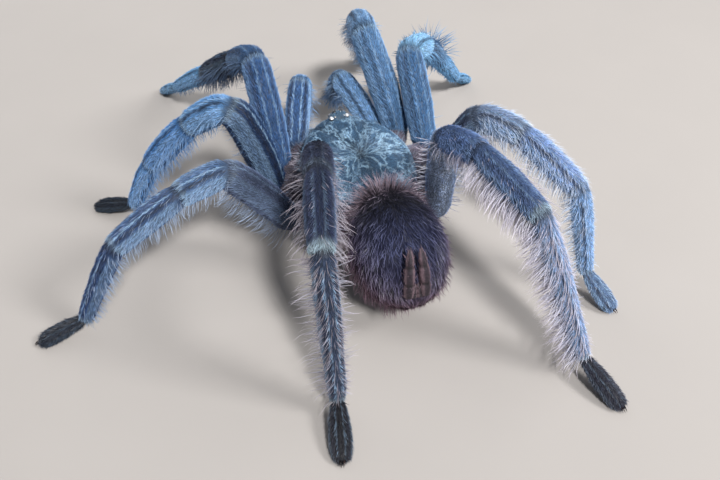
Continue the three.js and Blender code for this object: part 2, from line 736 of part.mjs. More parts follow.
for (const [word, side] of [["left", 1], ["right", -1]]) {
  const chelicera = cheliceraSegment(side);
  const otherHalf = CARAPACE.length * 4;
  const midline = closedShape(new THREE.BoxGeometry(CARAPACE.width, otherHalf, otherHalf));
  midline.translate(-side * (CARAPACE.width - JOINT_GAP) / 2, 0, 0);
  let lobe = shapedSolid(CHELICERA_OUTLINE, chelicera, 0).subtract(prosomaSeat).subtract(toSolid(midline));
  LIMBS.forEach((limb, i) => {
    if (limb.name.startsWith("palp")) {
      lobe = lobe.subtract(shapedSolid(OUTLINE.femur, chains[i][0], JOINT_GAP));
    }
  });
  addNode(`chelicera_${word}`, lobe, COLOUR.chelicera, 0.8, chelicera.matrix);

  const fang = fangSegment(side, chelicera);
  const fangSolid = shapedSolid(FANG_OUTLINE, fang, 0)
    .subtract(shapedSolid(CHELICERA_OUTLINE, chelicera, JOINT_GAP))
    .subtract(prosomaSeat);
  addNode(`fang_${word}`, fangSolid, COLOUR.fang, 0.2, fang.matrix);

  const spinneret = spinneretSegment(side);
  const spinneretSolid = shapedSolid(SPINNERET_OUTLINE, spinneret, 0).subtract(abdomenSeat);
  addNode(`spinneret_${word}`, spinneretSolid, COLOUR.spinneret, 0.85, spinneret.matrix);
}

// A segment is hollowed for the one before it on its limb, and cut clear of the limbs already placed.
const placedSeats = [];
LIMBS.forEach((limb, limbNumber) => {
  const chain = chains[limbNumber];
  const random = seededRandom(100 + limbNumber);
  const ownSeats = chain.map((segment) => shapedSolid(OUTLINE[segment.kind], segment, JOINT_GAP));
  chain.forEach((segment, i) => {
    const name = `${limb.name}_${segment.kind}`;
    const core = shapedSolid(OUTLINE[segment.kind], segment, 0);
    let solid = joined([core, ...segmentLocks(name, segment, limb, random)]);
    solid = solid.subtract(i === 0 ? prosomaSeat : ownSeats[i - 1]);
    for (const seat of placedSeats) {
      solid = solid.subtract(seat);
    }
    addNode(name, aboveGround(solid), COLOUR[segment.kind], 0.8, segment.matrix);
  });
  placedSeats.push(...ownSeats);
});

// The origin is at the middle of the model's box, on the ground.
const box = new THREE.Box3().setFromObject(tarantula, true);
tarantula.position.set(-(box.min.x + box.max.x) / 2, -(box.min.y + box.max.y) / 2, -box.min.z);

export default tarantula;
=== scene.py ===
import math

import bpy
import numpy as np
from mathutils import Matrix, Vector


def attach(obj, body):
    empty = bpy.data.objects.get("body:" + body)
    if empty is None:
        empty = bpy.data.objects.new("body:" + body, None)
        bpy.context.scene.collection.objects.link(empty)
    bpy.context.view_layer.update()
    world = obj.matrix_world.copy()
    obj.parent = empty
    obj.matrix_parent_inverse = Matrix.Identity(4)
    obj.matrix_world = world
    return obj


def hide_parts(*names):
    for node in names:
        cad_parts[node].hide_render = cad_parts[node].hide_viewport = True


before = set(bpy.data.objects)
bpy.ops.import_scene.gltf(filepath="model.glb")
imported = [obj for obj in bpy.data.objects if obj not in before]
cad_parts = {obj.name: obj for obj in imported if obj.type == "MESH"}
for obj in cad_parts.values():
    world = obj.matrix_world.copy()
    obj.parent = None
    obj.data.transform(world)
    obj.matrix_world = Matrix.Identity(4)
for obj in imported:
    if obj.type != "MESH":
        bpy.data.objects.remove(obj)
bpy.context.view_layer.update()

# ---- The table, the light and the view ----
# A plain pale table top under the model. A soft key lamp shines down over the camera's shoulder, and three
# panels fill the shadows: one high on the camera's right, one overhead and one beyond the head.

scene = bpy.context.scene
MM = 0.001


class Wire:
    """A socket of a node tree. Sums and products of wires and numbers add their Math nodes."""

    def __init__(self, tree, socket=None):
        self.tree = tree
        self.socket = socket

    def make(self, kind, settings=(), inputs=(), output=None):
        """Adds a node: its settings first, then the values or links of its sockets. Returns an output."""
        node = self.tree.nodes.new(kind)
        for name, value in dict(settings).items():
            setattr(node, name, value)
        for name, value in dict(inputs).items():
            socket = next(s for s in node.inputs if s.enabled and name in (s.identifier, s.name))
            if isinstance(value, Wire):
                self.tree.links.new(value.socket, socket)
            else:
                socket.default_value = value
        outputs = [s for s in node.outputs if s.enabled and output in (None, s.identifier, s.name)]
        return Wire(self.tree, outputs[0] if outputs else None)

    def math(self, operation, *others):
        values = dict(zip(("Value", "Value_001"), (self, *others)))
        return self.make("ShaderNodeMath", {"operation": operation}, values)

    def __add__(self, other):
        return self.math("ADD", other)

    def __sub__(self, other):
        return self.math("SUBTRACT", other)

    def __mul__(self, other):
        return self.math("MULTIPLY", other)

    def __rsub__(self, other):
        values = {"Value": other, "Value_001": self}
        return self.make("ShaderNodeMath", {"operation": "SUBTRACT"}, values)

    __radd__ = __add__
    __rmul__ = __mul__

    def ramp(self, low, high):
        """0 below low, 1 above high and a smooth climb between them; low may be the larger."""
        if low > high:
            return 1 - self.ramp(high, low)
        values = {"Value": self, "From Min": low, "From Max": high}
        return self.make("ShaderNodeMapRange", {"interpolation_type": "SMOOTHSTEP"}, values)

    def blend(self, other, share):
        """This colour with a share of another laid over it."""
        values = {"Factor_Float": share, "A_Color": self, "B_Color": other}
        return self.make("ShaderNodeMix", {"data_type": "RGBA"}, values, "Result_Color")

    def tint(self, strength):
        """This colour made lighter or darker by a number."""
        values = {"Vector": self, "Scale": strength}
        return self.make("ShaderNodeVectorMath", {"operation": "SCALE"}, values, "Vector")

    def attribute(self, name, output="Fac"):
        return self.make("ShaderNodeAttribute", {"attribute_name": name}, output=output)

    def plain(self, colour):
        """One colour all over."""
        return self.make("ShaderNodeRGB").blend(colour, 1.0)

    def here(self):
        """Where a point lies on its piece."""
        return self.make("ShaderNodeTexCoord", output="Object")

    def noise(self, where, scale, detail=2.0):
        values = {"Vector": where, "Scale": scale, "Detail": detail}
        return self.make("ShaderNodeTexNoise", inputs=values, output="Fac")


def finish(name):
    """An empty material and the wire that its nodes start from."""
    material = bpy.data.materials.new(name)
    material.use_nodes = True
    material.node_tree.nodes.clear()
    return material, Wire(material.node_tree)


def surface(wire, **values):
    """The shader of a finish, on the material's output."""
    names = {key.replace("_", " ").title().replace("Ior", "IOR"): value for key, value in values.items()}
    shader = wire.make("ShaderNodeBsdfPrincipled", inputs=names)
    wire.make("ShaderNodeOutputMaterial", inputs={"Surface": shader})


def paint(red, green, blue):
    """A colour given from 0 to 255 as it looks, for a shader."""
    channels = [value / 255 for value in (red, green, blue)]
    return [c / 12.92 if c <= 0.04045 else ((c + 0.055) / 1.055) ** 2.4 for c in channels] + [1.0]


TABLE_SIDE = 4.0
TABLE_COLOUR = paint(178, 172, 167)
TABLE_GRAIN = 60.0
TABLE_SPECKLE = 0.06
VIEW_FROM = Vector((26.39, 82.04, 74.88)) * MM
VIEW_TO = Vector((-4.82, 4.87, 0.0)) * MM
LENS = 42.07
SENSOR = 36.0
NEAREST = 0.005

material, wire = finish("table")
grain = wire.noise(wire.here(), TABLE_GRAIN, 3.0)
surface(wire, base_color=wire.plain(TABLE_COLOUR).tint(0.97 + grain * TABLE_SPECKLE), roughness=0.85)
bpy.ops.mesh.primitive_plane_add(size=TABLE_SIDE)
table = bpy.context.object
table.name = "table"
table.data.materials.append(material)


def aimed(thing, place, target):
    thing.location = place
    thing.rotation_euler = (target - place).to_track_quat("-Z", "Y").to_euler()
    scene.collection.objects.link(thing)


camera = bpy.data.objects.new("camera", bpy.data.cameras.new("camera"))
camera.data.lens = LENS
camera.data.sensor_width = SENSOR
camera.data.clip_start = NEAREST
aimed(camera, VIEW_FROM, VIEW_TO)
scene.camera = camera

# Each panel: its place and what it is turned to, in millimetres, its side in metres and its power in watts.
PANELS = {
    "side_panel": ((-192, 184, 238), (-16, 0, 6), 0.09, 0.74),
    "overhead_panel": ((-160, -20, 300), (-8, 0, 8), 0.25, 0.16),
    "front_panel": ((40, -220, 140), (-8, 0, 8), 0.25, 0.2),
}
for name, (spot, target, side, power) in PANELS.items():
    lamp = bpy.data.objects.new(name, bpy.data.lights.new(name, "AREA"))
    lamp.data.size = side
    lamp.data.energy = power
    aimed(lamp, Vector(spot) * MM, Vector(target) * MM)
KEY_FROM = Vector((-2, 195, 200)) * MM
KEY_TO = Vector((-5, 5, 0)) * MM
KEY_STRENGTH = 3.2
KEY_SOFTNESS = 7
ROOM_COLOUR = paint(214, 222, 235)
ROOM_STRENGTH = 0.18
key = bpy.data.objects.new("key_lamp", bpy.data.lights.new("key_lamp", "SUN"))
key.data.energy = KEY_STRENGTH
key.data.angle = math.radians(KEY_SOFTNESS)
aimed(key, KEY_FROM, KEY_TO)
world = bpy.data.worlds.new("studio")
scene.world = world
world.use_nodes = True
world.node_tree.nodes["Background"].inputs["Color"].default_value = ROOM_COLOUR
world.node_tree.nodes["Background"].inputs["Strength"].default_value = ROOM_STRENGTH
scene.view_settings.view_transform = "Standard"

# ---- The front body ----
# Carapace, breastplate, lip and eye mound: plates of thin horn under short hair. Each is a closed skin over
# rings of points, in millimetres in the body's own frame, whose middle line lies off the origin.

BODY_MIDDLE = np.array([-5.575, 2.234, 0.0])
SKIN_DEPTH = 0.22


def unit(vectors):
    vectors = np.asarray(vectors, float)
    return vectors / np.linalg.norm(vectors, axis=-1, keepdims=True)


def smooth(values, low, high):
    t = np.clip((values - low) / (high - low), 0, 1)
    return t * t * (3 - 2 * t)


def hill(values, middle, width):
    return np.exp(-(((values - middle) / width) ** 2))


def linear(rgb):
    return np.array(paint(*rgb)[:3])


def mixed(colour, other, share):
    """A colour with a share of another laid over it, point by point."""
    return colour + (other - colour) * share[..., None]


# What every skin carries, unless its piece says otherwise: the way that fur and bristles lie, the share
# of the ground under each sort of hair, the length and rise of the long ones, the colours of coat and
# bristles, and where on the piece the markings run.
PLAIN = {
    "lie": (0, 0, 1), "comb": (0, 0, 1), "fur": 1.0, "feather": 0.0, "feather_reach": 1.3, "fringe": 0.0,
    "fringe_reach": 1.5, "pad": 0.0, "rise": 0.0, "paint": (0.1, 0.1, 0.1), "pale": (0.4, 0.36, 0.36),
    "flank": 0.0, "top": 0.0, "lined": 0.0, "veined": 0.0, "fan": (0, 0, 0),
}


class Skin:
    """A closed skin: rings of points from a start pole to an end pole, with what each point carries.

    A field is one value, or one for each ring, each angle round it or each point."""

    def __init__(self, name, rings, start, end, cell, **fields):
        self.name = name
        self.count, self.around = rings.shape[:2]
        self.points = np.vstack([start, rings.reshape(-1, 3), end])
        self.cell = cell
        self.carried = {}
        for key, field in {**PLAIN, **fields}.items():
            tail = np.shape(PLAIN[key])
            field = np.asarray(field, float)
            if field.ndim == 1 + len(tail) and len(field) == self.count:
                field = field[:, None]
            flat = np.broadcast_to(field, rings.shape[:2] + tail).reshape((-1,) + tail)
            self.carried[key] = np.concatenate([flat[:1], flat, flat[-1:]])

    def faces(self):
        """Corner numbers and the place of each corner on the unwrap."""
        k = np.arange(self.around)
        after = (k + 1) % self.around
        last = len(self.points) - 1
        corners, spots = [], []
        for i in range(self.count + 1):
            low, high = i / (self.count + 1), (i + 1) / (self.count + 1)
            here, there = 1 + (i - 1) * self.around, 1 + i * self.around
            left, right = k / self.around, (k + 1) / self.around
            middle = (left + right) / 2
            lows, highs = np.full(self.around, low), np.full(self.around, high)
            if i == 0:
                face = [np.zeros_like(k), 1 + after, 1 + k]
                spot = [(middle, lows), (right, highs), (left, highs)]
            elif i == self.count:
                face = [np.full_like(k, last), here + k, here + after]
                spot = [(middle, highs), (left, lows), (right, lows)]
            else:
                face = [here + k, here + after, there + after, there + k]
                spot = [(left, lows), (right, lows), (right, highs), (left, highs)]
            corners += np.stack(face, 1).tolist()
            spots.append(np.stack([np.stack(pair, 1) for pair in spot], 1).reshape(-1, 2))
        x0, y0, x1, y1 = self.cell
        spots = np.concatenate(spots) * (x1 - x0, y1 - y0) + (x0, y0)
        return corners, spots


def mesh_of(name, skins, alone=False):
    """One object from closed skins, with what their points carry and their unwrap, which fills the map
    where they are alone on it."""
    points = np.concatenate([s.points for s in skins])
    faces, spots, first = [], [], 0
    for skin in skins:
        corners, places = skin.faces()
        faces += [[first + c for c in face] for face in corners]
        spots.append(places)
        first += len(skin.points)
    mesh = bpy.data.meshes.new(name)
    mesh.from_pydata(((points + BODY_MIDDLE) * MM).tolist(), [], faces)
    spots = np.concatenate(spots).astype(np.float32)
    if alone:
        low, high = spots.min(0), spots.max(0)
        spots = (spots - low) / (high - low) * 0.98 + 0.01
    mesh.uv_layers.new(name="OFBake").uv.foreach_set("vector", spots.ravel())
    for field in skins[0].carried:
        values = np.concatenate([s.carried[field] for s in skins]).astype(np.float32)
        kind = "FLOAT" if values.ndim == 1 else "FLOAT_VECTOR"
        key = "value" if values.ndim == 1 else "vector"
        mesh.attributes.new(field, kind, "POINT").data.foreach_set(key, values.ravel())
    mesh.shade_smooth()
    piece = bpy.data.objects.new(name, mesh)
    scene.collection.objects.link(piece)
    return piece


def heading(bearing, lift):
    """Directions along a piece, of its back and across it, from its bearing and climb in degrees."""
    turn, climb = math.radians(bearing), math.radians(lift)
    along = np.array([math.sin(turn) * math.cos(climb), -math.cos(turn) * math.cos(climb), math.sin(climb)])
    back = np.array([-math.sin(turn) * math.sin(climb), math.cos(turn) * math.sin(climb), math.cos(climb)])
    return along, back, np.cross(along, back)


def profile(outline, places):
    """Thickness along a piece, through the outline's points with the corners rounded off."""
    fine = np.linspace(-0.4, 1.3, 681)
    marks, sizes = zip(*outline)
    level = np.interp(fine, marks, sizes)
    brush = np.hanning(51)
    level = np.convolve(np.pad(level, 25, mode="edge"), brush / brush.sum(), "valid")
    return np.interp(places, fine, level)


def turning(count):
    """Angles round a piece: sine is sideways, cosine is up to its back."""
    angle = np.arange(count) / count * 2 * math.pi
    return np.sin(angle), np.cos(angle)


CARAPACE = {"length": 17.6, "width": 15, "dome": 4.8, "keel": 1.5, "edge": 8.8, "forward": 0.8, "nose_up": 5}
CARAPACE_RINGS = 64
CARAPACE_AROUND = 128
# Its outline is a little squarer than an oval and narrower in front, and its dome is full at the sides.
SQUARENESS = 0.88
FRONT_TAPER = 0.22
FULLNESS = 0.62
# The pit's place behind the middle, and the forms around it, as shares of the half length and width.
FOVEA = 0.12
HEAD = {"height": 0.3, "at": -0.6, "length": 0.1, "width": 0.14}
PIT = {"depth": 0.5, "length": 0.006, "width": 0.02}
NECK = {"depth": 0.28, "spread": 0.62, "width": 0.07, "starts": (0.02, 0.2), "ends": (-0.95, -0.6)}
FURROWS = {"depth": 0.1, "number": 5, "turn": 0.3, "bend": 0.4, "width": 0.2, "at": 0.4, "reach": 0.22}
# Where its rim starts, as a share of the way out.
RIM_AT = 0.9
TEAL = linear((64, 96, 126))
DARK_TEAL = linear((34, 54, 74))
MOUND_TEAL = linear((78, 108, 134))
RIM_RED = linear((78, 66, 84))
RIM_PALE = linear((150, 178, 204))
BODY_PALE = linear((150, 168, 186))

nose = math.radians(-CARAPACE["nose_up"])
dip, run = math.sin(nose), math.cos(nose)
PROSOMA_TURN = np.array([[1, 0, 0], [0, run, -dip], [0, dip, run]])


def on_prosoma(points):
    return points @ PROSOMA_TURN.T + [0, -CARAPACE["forward"], CARAPACE["edge"]]


def carapace():
    rows = np.arange(1, CARAPACE_RINGS + 1) / (CARAPACE_RINGS + 1)
    tilt = math.pi * (1 - rows)[:, None]
    side, ahead = turning(CARAPACE_AROUND)
    x = np.sin(tilt) * -ahead
    y = np.sin(tilt) * -side
    z = np.cos(tilt) + 0 * x
    front = smooth(-y, -0.1, 1)
    half_width = CARAPACE["width"] / 2 * (1 - FRONT_TAPER * front) - SKIN_DEPTH
    rise = HEAD["height"] * np.exp(-((y - HEAD["at"]) ** 2) / HEAD["length"] - x * x / HEAD["width"])
    rise -= PIT["depth"] * np.exp(-((y - FOVEA) ** 2) / PIT["length"] - x * x / PIT["width"])
    # The head is set off by a groove on each side, and shallow furrows run from the pit to the flanks.
    neck = np.abs(np.abs(x) - NECK["spread"] * np.clip(FOVEA - y, 0, 1))
    rise -= (NECK["depth"] * hill(neck, 0, NECK["width"])
             * smooth(FOVEA - y, *NECK["starts"]) * smooth(y, *NECK["ends"]))
    angle = np.arctan2(x, FOVEA - y)
    far = np.hypot(x, y - FOVEA)
    furrow = np.abs(np.sin(FURROWS["number"] / 2 * angle + FURROWS["turn"] + FURROWS["bend"] * far))
    rise -= FURROWS["depth"] * hill(furrow, 0, FURROWS["width"]) * hill(far, FURROWS["at"], FURROWS["reach"])
    top = CARAPACE["dome"] * np.abs(z) ** FULLNESS + rise * np.minimum(1, np.abs(z) * 2)
    bottom = -CARAPACE["keel"] * np.abs(z)
    points = on_prosoma(np.stack([
        np.sign(x) * np.abs(x) ** SQUARENESS * half_width,
        np.sign(y) * np.abs(y) ** SQUARENESS * (CARAPACE["length"] / 2 - SKIN_DEPTH),
        np.where(z > 0, top, bottom) - z * SKIN_DEPTH,
    ], -1))
    out = np.hypot(x, y)
    edge = smooth(out, RIM_AT, 1.0)
    colour = mixed(TEAL, RIM_PALE, 0.6 * hill(out, RIM_AT, 0.06))
    colour = mixed(colour, RIM_RED, edge * 0.8)
    colour = mixed(colour, DARK_TEAL, 0.35 * hill(far, 0, 0.1) + 0.5 * hill(neck, 0, 0.1))
    away = points - on_prosoma([0, FOVEA * CARAPACE["length"] / 2, 2.0])
    under = z < 0
    return Skin(
        "carapace", points, on_prosoma([0, 0, SKIN_DEPTH - CARAPACE["keel"]]),
        on_prosoma([0, 0, CARAPACE["dome"] - SKIN_DEPTH]), (0.71, 0.01, 0.99, 0.32),
        lie=unit(away * [1, 1, 0.2] + [0, 0, 1e-6]), comb=unit(away + [0, 0, 2.5]), paint=colour,
        pale=BODY_PALE, veined=np.where(under, 0.0, 1 - 0.6 * edge),
        fan=np.stack([angle, far, 0 * far], -1), fur=np.where(under, 0.3, 1.0),
        fringe=0.6 * edge, fringe_reach=1.5, feather=0.04 + 0 * edge, feather_reach=0.8, rise=0.3)


EGG_RINGS = 16
EGG_AROUND = 32


def rounded(name, centre, half, cell, turn=np.eye(3), **fields):
    """An egg-shaped skin for the small pieces of the body."""
    tilt = (math.pi * (1 - np.arange(1, EGG_RINGS + 1) / (EGG_RINGS + 1)))[:, None]
    side, ahead = turning(EGG_AROUND)
    ball = np.stack([np.sin(tilt) * -ahead, np.sin(tilt) * -side, np.cos(tilt) + 0 * side], -1)
    points = (ball * half) @ turn.T + centre
    poles = [np.array([0, 0, sign * half[2]]) @ turn.T + centre for sign in (-1, 1)]
    return Skin(name, points, poles[0], poles[1], cell, **fields)


STERNUM = {"half": np.array([3.1, 4.05, 1.15]), "height": 6.9}
UNDER_BROWN = linear((58, 52, 58))
TUBERCLE = {"half": np.array([1.3, 0.95, 0.9]), "back": 2.5, "rise": 0.82}
tubercle_centre = on_prosoma([
    0, TUBERCLE["back"] - CARAPACE["length"] / 2, CARAPACE["dome"] * TUBERCLE["rise"]])

body_skins = [
    carapace(),
    rounded("sternum", [0, -0.5, STERNUM["height"]], STERNUM["half"], (0.71, 0.68, 0.79, 0.78),
            lie=(0, 1, -0.2), comb=(0, 1, -0.2), paint=UNDER_BROWN, fringe=0.5, fringe_reach=1.4),
    rounded("lip", [0, -5.0, 6.6], np.array([1.2, 1.1, 0.9]), (0.80, 0.68, 0.88, 0.78),
            lie=(0, -1, -0.6), comb=(0, -1, -0.6), paint=UNDER_BROWN, fringe=0.5, fringe_reach=1.2),
    rounded("eye_mound", tubercle_centre, TUBERCLE["half"], (0.89, 0.68, 0.98, 0.78), turn=PROSOMA_TURN,
            lie=(0, -1, 0.1), comb=(0, -1, 0.6), paint=MOUND_TEAL, pale=BODY_PALE, fur=0.5, feather=0.15,
            feather_reach=0.5, rise=0.5),
]

# ---- The limbs ----
# Eight legs and two palps, each a chain of hollow joints that the living animal bends. The skin is one
# tube from the breastplate to the foot, drawn in at each joint and rounded over at each bend.

# Each joint: its width and height where it is thickest and how far it bows up, in millimetres on the
# stoutest leg, and its outline as shares of that thickness from one end to the other.
THICKNESS = {
    "coxa": (4.0, 4.2, 0.0), "femur": (4.2, 4.5, 0.35), "patella": (3.9, 3.9, 0.15),
    "tibia": (3.75, 3.75, 0.1), "metatarsus": (3.1, 3.0, 0.12), "tarsus": (2.9, 1.8, 0.05),
}
OUTLINE = {
    "coxa": [(0.0, 0.6), (0.3, 0.95), (0.72, 0.95), (0.8, 0.8), (0.9, 0.9), (1.0, 0.84)],
    "femur": [(0.0, 0.8), (0.14, 0.88), (0.45, 1.0), (0.88, 0.96), (1.0, 0.88)],
    "patella": [(0.0, 0.92), (0.15, 0.98), (0.5, 1.02), (0.88, 0.97), (1.0, 0.86)],
    "tibia": [(0.0, 0.84), (0.12, 0.93), (0.4, 1.0), (0.88, 0.9), (1.0, 0.8)],
    "metatarsus": [(0.0, 0.9), (0.08, 0.95), (0.25, 1.0), (0.9, 0.8), (1.0, 0.7)],
    "tarsus": [(0.0, 0.62), (0.1, 0.76), (0.35, 0.96), (0.6, 1.04), (0.85, 0.98), (1.0, 0.84)],
}
LEG_JOINTS = ["coxa", "femur", "patella", "tibia", "metatarsus", "tarsus"]
PALP_JOINTS = ["coxa", "femur", "patella", "tibia", "tarsus"]
# Each pair: its stoutness, and the length of each joint from the femur out.
PAIRS = {
    "leg_1": (1.0, (14.7, 8.3, 11.4, 10.4, 6.6)),
    "leg_2": (0.98, (13.3, 6.9, 9.5, 9.1, 6.2)),
    "leg_3": (0.94, (11.7, 5.8, 9.2, 11.0, 5.6)),
    "leg_4": (0.92, (13.3, 6.6, 9.9, 18.7, 6.7)),
    "palp": (0.86, (10.1, 6.1, 7.7, 6.3)),
}
# Each limb: its coat, its hip, and the bearing and climb of each joint from the femur out. The last two
# climbs follow from the height of the ankle, which comes last, and from that of the toe.
LIMBS = {
    "leg_1_left": ("dark_front", (8.6, -5.6, 7.8), (1, 5, 16, 24, 13), (57, -28, -34), 3.9),
    "leg_2_left": ("dark_toe_front", (10.5, -1.9, 8.5), (73, 53, 51, 47, 52), (71, -33, -49), 2.1),
    "leg_3_left": ("third", (10.4, 3.8, 7.5), (87, 97, 97, 91, 95), (52, -11, -27), 1.8),
    "leg_4_left": ("hind", (7.6, 8.0, 7.4), (143, 161, 162, 179, 163), (85, 16, -11), 2.2),
    "leg_1_right": ("pale_front", (-8.5, -6.4, 8.6), (9, -16, -25, -27, -27), (52, -18, -42), 2.4),
    "leg_2_right": ("pale_toe_front", (-10.5, -1.8, 8.6), (-7, -45, -44, -56, -49), (47, -19, -39), 3.6),
    "leg_3_right": ("pale_third", (-9.5, 3.2, 7.7), (-128, -148, -152, -166, -161), (65, -3, -26), 3.5),
    "leg_4_right": ("pale_hind", (-7.4, 8.4, 7.0), (155, -172, -166, -144, -168), (78, 17, -13), 2.6),
    "palp_left": ("front", (5.4, -9.0, 8.0), (-24, -20, -17, -21), (28, -38), 2.4),
    "palp_right": ("bright_front", (-6.0, -8.6, 8.6), (7, -12, -17, -22), (17, -40), 2.3),
}
TOE_HEIGHT = 0.45
COXA_START = [0.3, 0.42, 0]
RING_STEP = 0.34
LIMB_AROUND = 28
# A bend takes up this share of a joint's height and at most this share of its length, in steps of degrees.
BEND_ROOM = 0.46
BEND_LIMIT = 0.4
BEND_STEP = 8

# The coat of each joint from the coxa out: share and length of the feathery hairs on its back and flanks,
# share and length of the fringe below, and how pale a ring closes it.
HAIRS = {
    "front": [(0.1, 1.0, 0.25, 1.9, 0.0), (0.08, 0.9, 0.3, 1.9, 0.6), (0.1, 1.1, 0.3, 1.8, 0.7),
              (0.12, 1.3, 0.45, 2.4, 0.7), (0.15, 1.2, 0.45, 2.0, 0.6), (0.05, 0.7, 0.1, 0.8, 0.0)],
    "third": [(0.1, 1.2, 0.25, 2.2, 0.0), (0.01, 0.8, 0.5, 3.4, 0.3), (0.12, 1.2, 0.3, 2.2, 0.7),
              (0.14, 1.3, 0.35, 2.2, 0.6), (0.12, 1.3, 0.35, 2.0, 0.7), (0.0, 0.7, 0.1, 0.8, 0.0)],
    "hind": [(0.1, 1.4, 0.25, 2.4, 0.0), (0.02, 0.9, 0.5, 2.7, 0.1), (0.01, 1.1, 0.2, 2.2, 0.2),
             (0.03, 1.4, 0.45, 3.3, 1.0), (0.32, 2.0, 0.5, 3.4, 0.9), (0.0, 0.7, 0.1, 0.8, 0.0)],
}
# Where one leg's coat departs from that of its kind.
OWN_HAIRS = {
    ("dark_front", "tibia"): (0.16, 1.5, 0.5, 2.8, 0.7),
    ("dark_front", "metatarsus"): (0.15, 1.2, 0.3, 1.4, 0.6),
    ("dark_toe_front", "tarsus"): (0.0, 0.7, 0.1, 0.8, 0.0),
    ("pale_toe_front", "tibia"): (0.12, 3.6, 0.45, 1.7, 0.7),
    ("pale_toe_front", "metatarsus"): (0.15, 1.2, 0.25, 1.0, 0.6),
    ("pale_third", "patella"): (0.4, 1.6, 0.8, 2.4, 0.6),
    ("pale_third", "tibia"): (0.45, 1.6, 0.8, 2.6, 0.5),
    ("pale_third", "metatarsus"): (0.3, 1.5, 0.6, 2.4, 0.9),
    ("pale_third", "tarsus"): (0.05, 0.7, 0.1, 0.8, 0.0),
    ("pale_hind", "patella"): (0.04, 1.1, 0.5, 2.6, 0.2),
    ("pale_hind", "tibia"): (0.03, 1.2, 1.2, 4.0, 0.8),
    ("pale_hind", "metatarsus"): (0.5, 2.0, 0.9, 3.8, 0.9),
}
# The colours of each coat: those joints in turn, and then the pale ends of the long hairs. Both sides of
# the animal are alike, so the coats of the right-hand limbs are lighter copies of the plain ones, painted
# light, and the coats of the first two left legs are copies with painted shade on some joints and painted
# light on others.
COAT_COLOURS = {
    "front": [(96, 88, 100), (56, 90, 136), (92, 136, 182), (72, 126, 186), (82, 132, 188), (66, 104, 150),
              (136, 162, 196)],
    "dark_front": [(96, 88, 100), (56, 90, 136), (58, 90, 130), (14, 24, 44), (104, 160, 206),
                   (100, 146, 184), (84, 104, 134)],
    "dark_toe_front": [(96, 88, 100), (30, 54, 92), (92, 136, 182), (72, 126, 186), (82, 132, 188),
                       (14, 16, 24), (136, 162, 196)],
    "pale_front": [(110, 102, 116), (90, 130, 172), (102, 140, 180), (88, 142, 202), (96, 150, 208),
                   (78, 120, 170), (156, 182, 212)],
    "bright_front": [(110, 102, 116), (126, 168, 212), (102, 140, 180), (88, 142, 202), (96, 150, 208),
                     (78, 120, 170), (156, 182, 212)],
    "pale_toe_front": [(110, 102, 116), (74, 112, 154), (130, 176, 210), (58, 88, 126), (92, 146, 190),
                       (86, 138, 178), (104, 150, 192)],
    "third": [(104, 96, 110), (82, 94, 122), (74, 102, 140), (50, 76, 116), (26, 52, 94), (8, 14, 28),
              (164, 180, 204)],
    "pale_third": [(104, 96, 110), (82, 94, 122), (146, 168, 202), (132, 160, 206), (134, 170, 214),
                   (102, 128, 164), (206, 214, 228)],
    "hind": [(96, 86, 98), (134, 152, 182), (32, 44, 72), (20, 38, 70), (44, 60, 86), (5, 10, 22),
             (196, 186, 194)],
    "pale_hind": [(96, 86, 98), (196, 214, 240), (92, 122, 172), (70, 96, 138), (124, 148, 186),
                  (30, 34, 50), (224, 214, 222)],
}
# How strong the pale lengthwise lines are on each joint, for the coats where some are faint.
CLEAR_LINES = (1.0,) * 6
LINE_STRENGTH = {
    "dark_front": (1.0, 0.65, 0.6, 0.4, 1.0, 1.0), "dark_toe_front": (1.0, 1.0, 1.0, 1.0, 1.0, 0.12),
    "pale_front": (1.0, 0.6, 1.0, 1.0, 1.0, 1.0), "pale_toe_front": (1.0, 0.6, 1.0, 1.0, 1.0, 1.0),
    "third": (1.0, 0.4, 1.0, 1.0, 0.6, 0.12), "hind": (1.0, 0.2, 0.12, 0.3, 1.0, 0.4),
    "pale_hind": (1.0, 0.2, 0.3, 0.5, 1.0, 0.25),
}
# How steeply the long hairs stand on the back of a joint, where they don't lie flat.
STANDING = {("pale_toe_front", "patella"): 0.7, ("pale_toe_front", "tibia"): 1.0}
# How far the hairs lie over towards the belly, by kind.
PARTING = {"front": 0.1, "third": 0.25, "hind": 0.4}
# The pale ring ahead of each joint, in millimetres from it, and the dark bare crease in the joint itself.
RING_AT = 0.5
RING_WIDTH = {"front": 0.22, "third": 0.22, "hind": 0.4}
RING_PALE = linear((142, 162, 172))
CREASE = {"width": 0.2, "depth": 0.07, "darkness": 0.75, "bareness": 0.8}
JOINT_DARK = linear((30, 38, 54))


